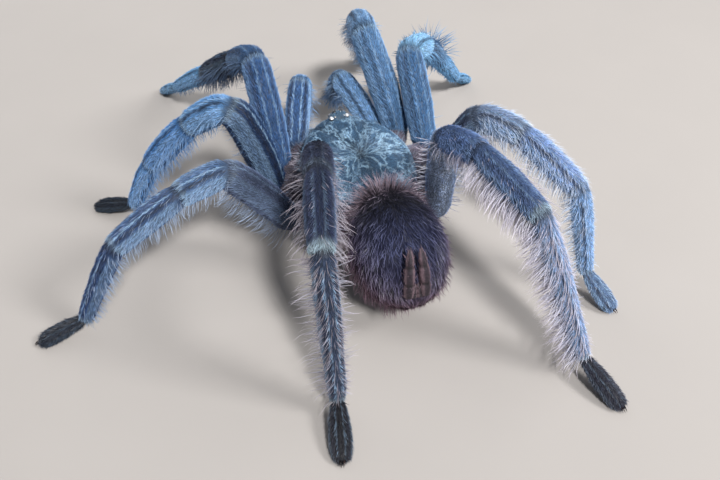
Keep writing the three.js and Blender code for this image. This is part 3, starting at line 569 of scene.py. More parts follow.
def limb_path(name):
    """A limb's stoutness, its joints, their lengths and stations along its middle.

    A station is a place, its direction, the back's direction, the joint's number and how far along it."""
    stoutness, lengths = PAIRS[name.rsplit("_", 1)[0]]
    _, hip, bearings, lifts, ankle = LIMBS[name]
    hip = np.array(hip)
    inner = hip * COXA_START + [0, 0, STERNUM["height"]]
    along = unit(hip - inner)
    across = unit(np.cross(along, [0, 0, 1]))
    frames = [(along, np.cross(across, along))]
    joints = [inner, hip]
    for i, (length, bearing) in enumerate(zip(lengths, bearings)):
        left = len(lengths) - i
        height = {2: ankle, 1: TOE_HEIGHT}.get(left)
        lift = lifts[i] if left > 2 else math.degrees(math.asin((height - joints[-1][2]) / length))
        along, back, _ = heading(bearing, lift)
        frames.append((along, back))
        joints.append(joints[-1] + along * length)
    kinds = LEG_JOINTS if len(lengths) == 5 else PALP_JOINTS
    spans = [np.linalg.norm(b - a) for a, b in zip(joints, joints[1:])]
    # Each bend starts and ends a little way from its joint, far enough for the inner side not to fold.
    trims, bends = [0.0], [0.0]
    for i in range(1, len(frames)):
        bend = math.acos(np.clip(frames[i - 1][0] @ frames[i][0], -1, 1))
        reach = THICKNESS[kinds[i]][1] * stoutness * BEND_ROOM * math.tan(bend / 2)
        trims.append(min(reach, BEND_LIMIT * spans[i - 1], BEND_LIMIT * spans[i]))
        bends.append(bend)
    trims.append(0.0)
    stations = []
    for i, (along, back) in enumerate(frames):
        low, high = trims[i], spans[i] - trims[i + 1]
        for d in np.linspace(low, high, max(2, round((high - low) / RING_STEP) + 1)):
            stations.append((joints[i] + along * d, along, back, i, d / spans[i]))
        if i + 1 == len(frames) or trims[i + 1] < 0.05:
            continue
        after, after_back = frames[i + 1]
        trim, bend = trims[i + 1], bends[i + 1]
        radius = trim / math.tan(bend / 2)
        inward = unit(after - (along @ after) * along)
        begin = joints[i + 1] - along * trim
        steps = max(2, round(math.degrees(bend) / BEND_STEP))
        for f in np.arange(1, steps) / steps:
            turn = bend * f
            at = begin + radius * (math.sin(turn) * along + (1 - math.cos(turn)) * inward)
            direction = math.cos(turn) * along + math.sin(turn) * inward
            lean = back * (1 - f) + after_back * f
            lean = unit(lean - (lean @ direction) * direction)
            past = trim * (2 * f - 1)
            joint = i if f < 0.5 else i + 1
            share = 1 + past / spans[i] if f < 0.5 else past / spans[i + 1]
            stations.append((at, direction, lean, joint, share))
    return stoutness, kinds, spans, stations


def limb_skin(name, cell):
    coat = LIMBS[name][0]
    family = coat.split("_")[-1]
    stoutness, kinds, spans, stations = limb_path(name)
    place, along, back, joint, share = (np.array(column) for column in zip(*stations))
    across = np.cross(along, back)
    count = len(place)
    half, colour = np.zeros((count, 2)), np.zeros((count, 3))
    bow, feather, feather_reach, fringe, fringe_reach, crease = (np.zeros(count) for _ in range(6))
    for i, kind in enumerate(kinds):
        here = joint == i
        number = LEG_JOINTS.index(kind)
        s = share[here]
        before, after = (1 - s) * spans[i], s * spans[i]
        width, height, arch = THICKNESS[kind]
        size = profile(OUTLINE[kind], s)
        half[here] = np.stack([size * width, size * height], 1) * stoutness / 2 - SKIN_DEPTH
        bow[here] = arch * np.sin(math.pi * s)
        hairs = OWN_HAIRS.get((coat, kind), HAIRS[family][number])
        feather[here], feather_reach[here], fringe[here], fringe_reach[here], ring = hairs
        tone = linear(COAT_COLOURS[coat][number])
        tone = mixed(tone, RING_PALE, ring * hill(before, RING_AT, RING_WIDTH[family]))
        if kind != "coxa":
            crease[here] = hill(after, 0, CREASE["width"])
        if kind != "tarsus":
            crease[here] = np.maximum(crease[here], hill(before, 0, CREASE["width"]))
        colour[here] = tone + (JOINT_DARK - tone) * CREASE["darkness"] * crease[here][:, None]
    # Thickness runs evenly from one joint into the next.
    blur = np.array([0.25, 0.5, 0.25])
    for column in (half[:, 0], half[:, 1], bow):
        for _ in range(3):
            column[1:-1] = np.convolve(column, blur, "valid")
    half *= 1 - CREASE["depth"] * crease[:, None]
    kind_of = np.array(kinds)[joint]
    is_foot = kind_of == "tarsus"
    tip = np.where(is_foot, np.clip((share - 0.9) / 0.1, 0, 1), 0)
    half *= np.sqrt(1 - 0.75 * tip ** 2)[:, None]
    side, up = turning(LIMB_AROUND)
    centre = place + back * bow[:, None]
    rings = (centre[:, None] + across[:, None] * (half[:, :1] * side)[..., None]
             + back[:, None] * (half[:, 1:] * up)[..., None])
    level = np.broadcast_to(up, (count, LIMB_AROUND))
    to_belly = np.sign(side)[None, :, None] * (
        across[:, None] * up[None, :, None] - back[:, None] * side[None, :, None])
    ahead = along[:, None]
    parted = smooth(np.abs(side), 0.0, 0.3)[None, :, None]
    parting = PARTING[family]
    is_femur = (kind_of == "femur")[:, None]
    belly = smooth(-level, -0.25, 0.35)
    # Femurs carry their long hairs in a comb, on the hind legs along each flank and else along the belly.
    comb_line = {
        "front": 0.3 * belly, "third": hill(level, -0.95, 0.2), "hind": hill(level, -0.1, 0.16),
    }[family]
    bare = 1 - CREASE["bareness"] * crease[:, None]
    clearance = smooth(rings[..., 2], 0.3, 3.0)
    strength = LINE_STRENGTH.get(coat, CLEAR_LINES)
    lined = np.array([strength[LEG_JOINTS.index(kind)] for kind in kind_of]) * (kind_of != "coxa")
    lined = lined * smooth(share, 0.02, 0.1) * (1 - smooth(share, 0.92, 0.99))
    stand = np.array([STANDING.get((coat, kind), 0.0) for kind in kind_of])[:, None]
    pad_side = smooth(-level, -0.45, 0.1)
    ankle_pad = (kind_of == "metatarsus") * smooth(share, 0.6, 0.9) * 0.4
    pad = np.where(is_foot, smooth(share, 0.05, 0.2), ankle_pad)
    end = centre[-1] + along[-1] * half[-1, 1] * 0.5
    return Skin(
        name, rings, centre[0] - along[0] * 0.2, end, cell, flank=side, top=level, lined=lined,
        lie=unit(ahead + to_belly * parted * parting),
        comb=unit(ahead + to_belly * parted * (parting + 0.35)),
        paint=colour, pale=linear(COAT_COLOURS[coat][-1]),
        fur=bare, feather=feather[:, None] * smooth(level, -0.5, 0.0) * bare, feather_reach=feather_reach,
        fringe=fringe[:, None] * np.where(is_femur, comb_line, belly) * bare,
        fringe_reach=fringe_reach[:, None] * (0.25 + 0.75 * clearance), pad=pad[:, None] * pad_side,
        rise=np.where(is_femur, 0.35, 0.12) * belly + stand * smooth(level, 0.0, 0.6))


# Each limb has an upright strip of the unwrap to itself, with a gap to the next.
STRIP_STEP = 0.07
STRIP_WIDTH = 0.062
limb_skins = []
for number, name in enumerate(LIMBS):
    left = 0.005 + STRIP_STEP * number
    limb_skins.append(limb_skin(name, (left, 0.01, left + STRIP_WIDTH, 0.99)))

# ---- The jaws ----
# Two stout lobes side by side under the front of the carapace, each with a fang folded beneath it. The
# lobes are part of the skin, and the fangs are polished black horn.

CHELICERA = {"length": 6.6, "width": 3.3, "height": 3.9, "spread": 1.85, "root": 8.3, "droop": 30, "bow": 0.3}
CHELICERA_OUTLINE = [(-0.25, 0.6), (0.1, 0.92), (0.4, 1.0), (0.75, 0.93), (0.92, 0.74), (1.0, 0.5)]
FANG = {"length": 3.9, "radius": 0.62, "at": 0.84, "under": 0.3, "turn_in": 10, "fall": 38, "bow": -0.45}
FANG_OUTLINE = [(0.0, 0.9), (0.08, 1.0), (0.3, 0.86), (0.6, 0.6), (0.85, 0.32), (1.0, 0.1)]
JAW_BLUE = linear((84, 112, 130))


def tube(name, start, axes, length, size, outline, cell, rows=40, around=28, bow=0.0, low=0.0,
         inset=SKIN_DEPTH, **fields):
    """A closed skin of round section along one straight or bowed line."""
    along, back, across = axes
    s = np.linspace(low, 1, rows)
    half = profile(outline, s)[:, None] * np.array(size) / 2 - inset
    half *= np.sqrt(1 - 0.6 * smooth(s, 0.9, 1.06) ** 2)[:, None]
    side, up = turning(around)
    arch = bow * np.sin(math.pi * np.clip(s, 0, 1))
    centre = start + along * (s * length)[:, None] + back * arch[:, None]
    rings = (centre[:, None] + across * (half[:, :1] * side)[..., None]
             + back * (half[:, 1:] * up)[..., None])
    return Skin(name, rings, centre[0] - along * 0.05, centre[-1] + along * half[-1, 0] * 0.7, cell,
                **{"lie": along, "comb": along, "flank": side, "top": up, **fields})


jaw_skins, fang_skins = [], []
for number, sign in enumerate((1, -1)):
    root = np.array([sign * CHELICERA["spread"], 0.2 - CARAPACE["length"] / 2, CHELICERA["root"]])
    axes = heading(0, -CHELICERA["droop"])
    left = 0.71 + 0.07 * number
    jaw_skins.append(tube(
        f"jaw_{number}", root, axes, CHELICERA["length"], (CHELICERA["width"], CHELICERA["height"]),
        CHELICERA_OUTLINE, (left, 0.80, left + 0.06, 0.98), bow=CHELICERA["bow"], low=-0.2,
        paint=JAW_BLUE, pale=BODY_PALE, fringe=0.6, fringe_reach=1.4, rise=0.1))
    fang_root = (root + axes[0] * CHELICERA["length"] * FANG["at"]
                 - axes[1] * CHELICERA["height"] * FANG["under"])
    fang_skins.append(tube(
        f"fang_{number}", fang_root, heading(180 - sign * FANG["turn_in"], -FANG["fall"]),
        FANG["length"], (FANG["radius"] * 2, FANG["radius"] * 2), FANG_OUTLINE,
        (0.05 + 0.5 * number, 0.05, 0.45 + 0.5 * number, 0.95), bow=FANG["bow"], inset=0.02))

# ---- The hind body ----
# A soft egg-shaped sac on a narrow waist, under velvet and long hairs, with two long spinnerets that
# stand up against its rear.

ABDOMEN = {"length": 16.5, "width": 12.0, "height": 11.6, "front": (0, 6.8, 12), "droop": 20, "swing": -7}
ABDOMEN_DEPTH = 0.6
# It widens towards its rear by the first share, and narrows at both ends by the second.
REAR_SWELL = 0.1
END_TAPER = 0.06
ABDOMEN_RINGS = 64
ABDOMEN_AROUND = 96
ABDOMEN_BLUE = linear((44, 48, 78))
ABDOMEN_BLACK = linear((14, 13, 22))
ABDOMEN_WINE = linear((56, 38, 50))
# The long hairs' pale ends: their own colour in part, and in part a painted sheen.
SHEEN_BLUE = linear((100, 106, 142))
SHEEN_TAN = linear((140, 114, 126))
RUFF_PINK = linear((198, 180, 192))
WAIST = {"length": 4.2, "thickness": 2.4, "height": 8.9, "hidden": 2, "climb": 8}
SPINNERET = {"length": 5.8, "radius": 0.62, "at": 0.955, "bow": -0.3, "lean": 104, "meet": 14}
SPINNERET_OUTLINE = [(0, 0.85), (0.2, 1.1), (0.3, 0.84), (0.38, 1.02), (0.62, 0.96), (0.68, 0.76),
                     (0.75, 0.86), (0.9, 0.64), (1, 0.3)]
SPINNERET_JOINTS = (0.3, 0.68)
SPINNERET_ROWS = 40
SPINNERET_AROUND = 28
LARGE_PAIR = {"size": 1.0, "girth": 1, "spread": 0.95, "rise": 2.0, "cell": 0.80}
SMALL_PAIR = {"size": 0.3, "girth": 0.7, "spread": 0.35, "rise": 1.7, "cell": 0.90}
MAUVE = linear((58, 46, 58))
MAUVE_PALE = linear((156, 130, 140))

abdomen_axes = heading(180 + ABDOMEN["swing"], -ABDOMEN["droop"])


def on_abdomen(x, y, z):
    along, back, across = abdomen_axes
    x, y, z = (np.asarray(value, float)[..., None] for value in (x, y, z))
    return np.array(ABDOMEN["front"]) + x * across + y * along + z * back


def abdomen():
    tilt = (math.pi * np.arange(1, ABDOMEN_RINGS + 1) / (ABDOMEN_RINGS + 1))[:, None]
    side, up = turning(ABDOMEN_AROUND)
    y = -np.cos(tilt) + 0 * side
    swell = 1 + REAR_SWELL * y - END_TAPER * y * y
    around = np.sin(tilt)
    x = around * side * (ABDOMEN["width"] / 2 * swell - ABDOMEN_DEPTH)
    z = around * up * (ABDOMEN["height"] / 2 * swell - ABDOMEN_DEPTH)
    lengthwise = y * (ABDOMEN["length"] / 2 - ABDOMEN_DEPTH) + ABDOMEN["length"] / 2
    level = around * up
    dark = smooth(level, 0.0, 0.7) * smooth(-y, -0.2, 0.5)
    margin = np.clip(0.95 - level, 0, 1) ** 1.4
    front = smooth(-y, 0.45, 0.85)
    wine = np.clip(margin + 0.6 * front, 0, 1)
    colour = mixed(ABDOMEN_BLUE, ABDOMEN_WINE, wine)
    colour = mixed(colour, ABDOMEN_BLACK, 0.88 * dark * (1 - 0.7 * front))
    # The long hairs' pale ends carry a painted sheen, dimmed over the black top and towards the lower margin.
    pale_hair_and_sheen = mixed(SHEEN_BLUE, SHEEN_TAN, wine)
    pale_hair_and_sheen = pale_hair_and_sheen * (1 - 0.75 * dark * (1 - front))[..., None] * (1 - 0.25 * margin)[..., None]
    pale_hair_and_sheen = mixed(pale_hair_and_sheen, RUFF_PINK, front * (0.65 + 0.35 * smooth(side, -0.2, 0.6)))
    rear = smooth(y, 0.75, 0.95)
    along, _, across = abdomen_axes
    outward = across * (side * around)[..., None] * 0.7
    flank = smooth(-level, -0.6, 0.2) * (0.4 + 0.6 * smooth(side, -0.3, 0.3))
    return Skin(
        "abdomen", on_abdomen(x, lengthwise, z), on_abdomen(0, ABDOMEN_DEPTH, 0),
        on_abdomen(0, ABDOMEN["length"] - ABDOMEN_DEPTH, 0), (0.71, 0.34, 0.99, 0.66),
        lie=along + outward * 0.5, comb=along + outward, paint=colour, pale=pale_hair_and_sheen, feather=1 - 0.9 * front,
        feather_reach=1.7 - 0.5 * rear, fringe=np.clip(0.5 * margin + front, 0, 1) * (1 - rear),
        fringe_reach=1.5 + 1.1 * front + 0.9 * flank * (1 - front), top=level, flank=side,
        rise=0.02 + 0.6 * front + 0.16 * margin)


abdomen_skin = abdomen()
spinneret_skins = []
along_it = np.linspace(0, 1, SPINNERET_ROWS)
joint_marks = sum(hill(along_it, at, 0.035) for at in SPINNERET_JOINTS)[:, None, None]
ridge = smooth(np.abs(turning(SPINNERET_AROUND)[0]), 0.35, 0.9)[None, :]
spinneret_paint = mixed(MAUVE, MAUVE_PALE, ridge) * (1 - 0.75 * joint_marks)
for number, pair in enumerate((LARGE_PAIR, LARGE_PAIR, SMALL_PAIR, SMALL_PAIR)):
    sign = -1 if number % 2 else 1
    width = SPINNERET["radius"] * pair["girth"] * 2
    left = 0.86 + 0.065 * (number % 2)
    spinneret_skins.append(tube(
        f"spinneret_{number}",
        on_abdomen(sign * pair["spread"], ABDOMEN["length"] * SPINNERET["at"], pair["rise"]),
        heading(180 + ABDOMEN["swing"] - sign * SPINNERET["meet"], SPINNERET["lean"]),
        SPINNERET["length"] * pair["size"], (width, width), SPINNERET_OUTLINE,
        (left, pair["cell"], left + 0.055, pair["cell"] + 0.08), rows=SPINNERET_ROWS,
        around=SPINNERET_AROUND, bow=SPINNERET["bow"] * pair["size"], inset=0.05,
        paint=spinneret_paint, pale=MAUVE_PALE, fur=0.7, fringe=0.5, fringe_reach=0.8))
waist_skin = tube(
    "waist", np.array([0, CARAPACE["length"] / 2 - WAIST["hidden"], WAIST["height"]]),
    heading(180, WAIST["climb"]), WAIST["length"], (WAIST["thickness"], WAIST["thickness"]),
    [(0, 1), (1, 1)], (0.71, 0.785, 0.79, 0.795), rows=12, paint=ABDOMEN_WINE, fur=0.5)

# ---- The skin ----
# One skin of thin horn and membrane over the whole animal, coloured like the coat that grows from it:
# steel blue limbs with pale lengthwise lines, a veined teal carapace and a dark violet sac.

LINE_PALE = paint(158, 190, 220)
VEIN_PALE = paint(168, 202, 226)
GUTTER_DARK = paint(30, 38, 60)
# Where the lengthwise markings run on a limb, from 0 along its back to 1 down its flank.
LINE_AT = 0.34
GUTTER_AT = 0.64
EDGE_AT = 0.93
# How strongly each marking covers the coat's own colour.
MARKING = {"line": 0.68, "edge": 0.6, "gutter": 0.75, "vein": 0.7}
# How fine each pattern is, in waves to a metre: the wander of the lines, the drift and sway of the veins,
# the patches where they fade, and the mottling.
WAVES = {"wander": 700.0, "drift": 380.0, "sway": 900.0, "fading": 300.0, "mottle": 1500.0}
# The cells between the veins: how many to a turn and to the way out, and how far each is shifted about.
VEIN_CELLS = {"turn": 2.5, "drift": 2.6, "out": 2.3, "sway": 1.8}
# How fine the skin's grain is, in waves to a metre, and how deep.
GRAIN = 4200.0
GRAIN_DEPTH = 0.00012
FLESH_NODES = [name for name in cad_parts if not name.startswith(("fang", "ocular"))]


def coat_colour(wire):
    """The markings, read the same way by the skin and by every hair that grows from it."""
    flank = wire.attribute("flank").math("ABSOLUTE")
    strength = wire.attribute("lined")
    place = wire.here()
    wander = (wire.noise(place, WAVES["wander"]) - 0.5) * 0.2
    on_back = wire.attribute("top").ramp(0.0, 0.3)
    line = (flank - LINE_AT + wander).math("ABSOLUTE").ramp(0.1, 0.02) * on_back
    edge = (flank - EDGE_AT).math("ABSOLUTE").ramp(0.12, 0.03) * MARKING["edge"]
    gutter = (flank - GUTTER_AT + wander).math("ABSOLUTE").ramp(0.16, 0.04) * strength
    # Veins run out from the pit and fork on the way, as the walls between cells drawn in turn and distance.
    fan = wire.make("ShaderNodeSeparateXYZ", inputs={"Vector": wire.attribute("fan", "Vector")}, output="X")
    far = Wire(wire.tree, fan.socket.node.outputs["Y"])
    drift = wire.noise(place, WAVES["drift"], 3.0) - 0.5
    sway = wire.noise(place, WAVES["sway"], 3.0) - 0.5
    spot = {"X": fan * VEIN_CELLS["turn"] + drift * VEIN_CELLS["drift"],
            "Y": far * VEIN_CELLS["out"] + sway * VEIN_CELLS["sway"]}
    cells = {"Vector": wire.make("ShaderNodeCombineXYZ", inputs=spot), "Scale": 1.0}
    walls = wire.make("ShaderNodeTexVoronoi", {"feature": "DISTANCE_TO_EDGE"}, cells)
    faint = wire.noise(place, WAVES["fading"]).ramp(0.34, 0.56) * 0.5 + 0.5
    veins = walls.ramp(0.12, 0.02) * faint * wire.attribute("veined")
    mottle = wire.noise(place, WAVES["mottle"], 4.0)
    colour = wire.attribute("paint", "Color").blend(GUTTER_DARK, gutter * MARKING["gutter"])
    colour = colour.blend(LINE_PALE, (strength * (line + edge) * MARKING["line"]).math("MINIMUM", 1.0))
    colour = colour.blend(VEIN_PALE, veins * MARKING["vein"])
    return colour.tint(0.3 + mottle * 1.4)


material, wire = finish("skin")
grain = wire.noise(wire.here(), GRAIN, 3.0)
bump = wire.make("ShaderNodeBump", inputs={"Strength": 0.5, "Distance": GRAIN_DEPTH, "Height": grain})
surface(wire, base_color=coat_colour(wire).tint(0.45), roughness=0.5 + grain * 0.25, normal=bump)
skin = mesh_of("skin", [*body_skins, *limb_skins, *jaw_skins, abdomen_skin, waist_skin, *spinneret_skins])
skin.data.materials.append(material)
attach(skin, "root")
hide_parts(*FLESH_NODES)

# ---- The fangs and claws ----
# Smooth black horn with a brown glow: the fangs are folded back under the lobes, and each foot ends in a
# pair of small hooked claws, half hidden in its tuft.

CLAW = {"length": 0.85, "width": 0.2, "apart": 0.22, "splay": 8, "fall": 22, "bow": 0.16}
CLAW_OUTLINE = [(0, 0.9), (0.3, 0.9), (0.7, 0.5), (1, 0.12)]
HORN_BLACK = paint(20, 12, 12)
HORN_BROWN = paint(84, 38, 28)
HORN_STREAKS = 2500.0

claw_skins = []
for number, name in enumerate(LIMBS):
    stations = limb_path(name)[-1]
    toe, along, back = stations[-1][:3]
    bearing = math.degrees(math.atan2(along[0], -along[1]))
    for half, sign in enumerate((1, -1)):
        start = toe + np.cross(along, back) * sign * CLAW["apart"] - along * 0.1 + back * 0.1
        left, low = 0.02 + 0.097 * number, 0.02 + 0.49 * half
        claw_skins.append(tube(
            f"claw_{number}_{half}", start, heading(bearing + CLAW["splay"] * sign, -CLAW["fall"]),
            CLAW["length"], (CLAW["width"], CLAW["width"]), CLAW_OUTLINE,
            (left, low, left + 0.08, low + 0.45), rows=14, around=10, bow=CLAW["bow"], inset=0.0))

material, wire = finish("fang_horn")
streak = wire.noise(wire.here(), HORN_STREAKS, 3.0)
bump = wire.make("ShaderNodeBump", inputs={"Strength": 0.2, "Distance": 0.00005, "Height": streak})
horn = wire.plain(HORN_BLACK).blend(HORN_BROWN, streak.ramp(0.45, 0.8) * 0.5)
surface(wire, base_color=horn, roughness=0.16 + streak * 0.12, normal=bump)
for name, pieces, nodes in (("fangs", fang_skins, ("fang_left", "fang_right")), ("claws", claw_skins, ())):
    horns = mesh_of(name, pieces)
    horns.data.materials.append(material)
    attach(horns, "root")
    if nodes:
        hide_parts(*nodes)

# ---- The eyes ----
# Eight glassy lenses on one mound behind the front edge of the carapace: two round dark ones look forward,
# and the oval ones beside and behind them are paler. They are set in the mound to half their depth.

# Each pair: sideways and forward place as a share of the mound, radius, length over width, and colour.
# The pale lenses are pearly, and the palest pair, behind and beside, is pale partly as a painted glint.
EYES = [(0.32, 0.6, 0.3, 1.0, (14, 14, 20)), (0.78, 0.55, 0.28, 1.2, (92, 92, 96)),
        (0.84, -0.3, 0.3, 1.25, (214, 216, 220)), (0.5, -0.45, 0.17, 1.2, (150, 150, 152))]
EYE_RIM = linear((18, 16, 20))
EYE_CLOUD = paint(70, 64, 60)
EYE_CLOUDS = 1800.0


def eye(name, sideways, forward, radius, stretch, colour, cell):
    level = math.sqrt(max(0.1, 1 - sideways ** 2 - forward ** 2))
    out = np.array([sideways, -forward, level])
    centre = tubercle_centre + (out * TUBERCLE["half"] * 0.96) @ PROSOMA_TURN.T
    # Each lens is pale over its upper half, partly pearl and partly painted glint, and dark towards its rim.
    pearl_and_glint = smooth(-np.cos(math.pi * np.arange(1, EGG_RINGS + 1) / (EGG_RINGS + 1)), 0.0, 0.75)[:, None]
    return rounded(name, centre, np.array([radius, radius * stretch, radius]), cell,
                   paint=EYE_RIM + (linear(colour) - EYE_RIM) * pearl_and_glint)


eye_skins = []
for number, (sideways, forward, radius, stretch, colour) in enumerate(EYES):
    for sign in (1, -1):
        left, low = 0.02 + 0.24 * number, 0.05 if sign > 0 else 0.55
        eye_skins.append(eye(f"eye_{number}_{sign}", sign * sideways, forward, radius, stretch, colour,
                             (left, low, left + 0.2, low + 0.4)))
material, wire = finish("eye_gloss")
cloud = wire.noise(wire.here(), EYE_CLOUDS)
glass = wire.attribute("paint", "Color").blend(EYE_CLOUD, cloud.ramp(0.55, 0.75) * 0.3)
surface(wire, base_color=glass, roughness=0.1 + cloud * 0.08, coat_weight=1.0, coat_roughness=0.08,
        specular_ior_level=0.8)
eyes = mesh_of("eyes", eye_skins)
eyes.data.materials.append(material)
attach(eyes, "root")
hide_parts("ocular_tubercle")

# ---- The coat ----
# Hair grows from the skin in layers: short fur flat along each limb, feathery hairs over it, pale fringes
# below, and dense dark pads under the feet. One node tree plants a kit of hairs over a stretch of skin.

# A hair's root sits in the skin by a share of its length, its width falls off by a power, and its curl
# takes this many half turns.
ROOT_SUNK = 0.05
TAPER = 0.55
CURL_TURN = 1.2


def strand(name, rows, lean, curl, thickness):
    """A tapering three-sided hair of unit length and width, rising at its root and bending over along +Y."""
    s = np.linspace(0, 1, rows)
    angle = lean[0] + (lean[1] - lean[0]) * s
    y = np.concatenate([[0], np.cumsum(np.cos(angle[:-1]))]) / (rows - 1)
    z = np.concatenate([[0], np.cumsum(np.sin(angle[:-1]))]) / (rows - 1) - ROOT_SUNK
    x = curl * np.sin(s * math.pi * CURL_TURN) * s
    fat = (1 - s) ** TAPER / 2
    corner = np.arange(3) / 3 * 2 * math.pi
    points = np.stack([
        x[:-1, None] + np.sin(corner) * fat[:-1, None],
        y[:-1, None] - np.cos(corner) * (fat * np.sin(angle))[:-1, None] * thickness,
        z[:-1, None] + np.cos(corner) * (fat * np.cos(angle))[:-1, None] * thickness,
    ], -1).reshape(-1, 3)
    points = np.vstack([points, [x[-1], y[-1], z[-1]]])
    faces = [(2, 1, 0)]
    for i in range(rows - 1):
        for j in range(3):
            a, b = i * 3 + j, i * 3 + (j + 1) % 3
            faces.append((a, b, b + 3, a + 3) if i < rows - 2 else (a, b, len(points) - 1))
    mesh = bpy.data.meshes.new(name)
    mesh.from_pydata(points.tolist(), [], faces)
    tips = np.append(np.repeat(s[:-1], 3), 1.0)
    mesh.attributes.new("tip", "FLOAT", "POINT").data.foreach_set("value", tips)
    flat = points[:, :2]
    flat = np.column_stack([(flat - flat.min(0)) / np.ptp(flat, axis=0) - 0.5, 0 * tips])
    mesh.attributes.new("spread", "FLOAT_VECTOR", "POINT").data.foreach_set("vector", flat.ravel())
    return bpy.data.objects.new(name, mesh)


def hair_kit(name, rows, lean, curl, thickness):
    """Three hairs of one sort that differ in their curl, for the tree to pick from."""
    kit = bpy.data.collections.new(name)
    for number, bend in enumerate((0.0, curl, -curl)):
        kit.objects.link(strand(f"{name}_{number}", rows, lean, bend, thickness))
    return kit


COAT_INPUTS = {
    "Skin": "Geometry", "Kit": "Collection", "Per square metre": "Float", "Share": "String",
    "Combed": "String", "Length field": "String", "Length": "Float", "Width": "Float", "Shortest": "Float",
    "Sway": "Float", "Gather": "Float", "Rise": "Float", "Rise spread": "Float", "Seed": "Int",
    "Finish": "Material",
}


def coat_tree():
    """Plants hairs from a kit over a mesh, upright on its normal and combed along its lie."""
    tree = bpy.data.node_groups.new("coat", "GeometryNodeTree")
    for label, kind in COAT_INPUTS.items():
        tree.interface.new_socket(label, in_out="INPUT", socket_type="NodeSocket" + kind)
    tree.interface.new_socket("Coat", in_out="OUTPUT", socket_type="NodeSocketGeometry")
    wire = Wire(tree)
    given = tree.nodes.new("NodeGroupInput")
    asked = {label: Wire(tree, given.outputs[label]) for label in COAT_INPUTS}

    def field(name, kind="FLOAT"):
        return wire.make("GeometryNodeInputNamedAttribute", {"data_type": kind}, {"Name": name}, "Attribute")

    def chance(low, high, extra, kind="FLOAT"):
        values = {"Min": low, "Max": high, "Seed": asked["Seed"] + extra}
        return wire.make("FunctionNodeRandomValue", {"data_type": kind}, values)

    spots = wire.make("GeometryNodeDistributePointsOnFaces", {"distribute_method": "RANDOM"}, {
        "Mesh": asked["Skin"], "Density": asked["Per square metre"] * field(asked["Share"]),
        "Seed": asked["Seed"]})
    normal = Wire(tree, spots.socket.node.outputs["Normal"])
    stand = wire.make("FunctionNodeAxesToRotation", {"primary_axis": "Z", "secondary_axis": "Y"}, {
        "Primary Axis": normal, "Secondary Axis": field(asked["Combed"], "FLOAT_VECTOR")})
    # Neighbours lean the same way, so hairs gather in locks with gaps between them.
    place = wire.make("GeometryNodeInputPosition")
    gather = (wire.noise(place, LOCKS_PER_METRE) - 0.5) * asked["Gather"]
    lift = (wire.noise(place, LOCKS_PER_METRE * 0.7) - 0.5) * asked["Gather"] * 0.5
    tilt = chance(-1.0, 1.0, 1) * asked["Rise spread"] + field("rise") * asked["Rise"] + lift
    sway = chance(-1.0, 1.0, 2) * asked["Sway"] + gather
    lean = wire.make("ShaderNodeCombineXYZ", inputs={"X": tilt, "Z": sway})
    lean = wire.make("FunctionNodeEulerToRotation", inputs={"Euler": lean})
    turned = wire.make("FunctionNodeRotateRotation", {"rotation_space": "LOCAL"},
                       {"Rotation": stand, "Rotate By": lean})
    long = chance(asked["Shortest"], 1.0, 3) * asked["Length"] * field(asked["Length field"])
    size = wire.make("ShaderNodeCombineXYZ", inputs={
        "X": asked["Width"] * chance(*WIDTH_SPREAD, 6), "Y": long, "Z": long})
    kit = wire.make("GeometryNodeCollectionInfo", inputs={
        "Collection": asked["Kit"], "Separate Children": True, "Reset Children": True})
    hairs = wire.make("GeometryNodeInstanceOnPoints", inputs={
        "Points": spots, "Instance": kit, "Pick Instance": True, "Instance Index": chance(0, 2, 4, "INT"),
        "Rotation": turned, "Scale": size})
    hairs = wire.make("GeometryNodeStoreNamedAttribute", {"data_type": "FLOAT", "domain": "INSTANCE"},
                      {"Geometry": hairs, "Name": "lot", "Value": chance(0.0, 1.0, 5)})
    real = wire.make("GeometryNodeRealizeInstances", inputs={"Geometry": hairs})
    patch = wire.make("ShaderNodeVectorMath", {"operation": "MULTIPLY_ADD"}, {
        "Vector": field("spread", "FLOAT_VECTOR"), "Vector_001": (PATCH, PATCH, 0.0),
        "Vector_002": field("OFBake", "FLOAT_VECTOR")}, "Vector")
    mapped = wire.make("GeometryNodeStoreNamedAttribute", {"data_type": "FLOAT2", "domain": "CORNER"},
                       {"Geometry": real, "Name": "OFBake", "Value": patch})
    dressed = wire.make("GeometryNodeSetMaterial", inputs={"Geometry": mapped, "Material": asked["Finish"]})
    output = tree.nodes.new("NodeGroupOutput")
    tree.links.new(dressed.socket, output.inputs["Coat"])
    return tree


# How much of the unwrap one hair takes, how close the locks stand, how much hairs differ in width, and how
# far the lowest ones stay off the table.
PATCH = 0.003
LOCKS_PER_METRE = 1100.0
WIDTH_SPREAD = (0.7, 1.2)
FLOOR_CLEARANCE = 0.02 * MM
COAT_TREE = coat_tree()
# What the hairs no longer need once they are planted.
SPENT = ["lie", "comb", "fur", "feather", "feather_reach", "fringe", "fringe_reach", "pad", "rise",
         "spread", "one"]


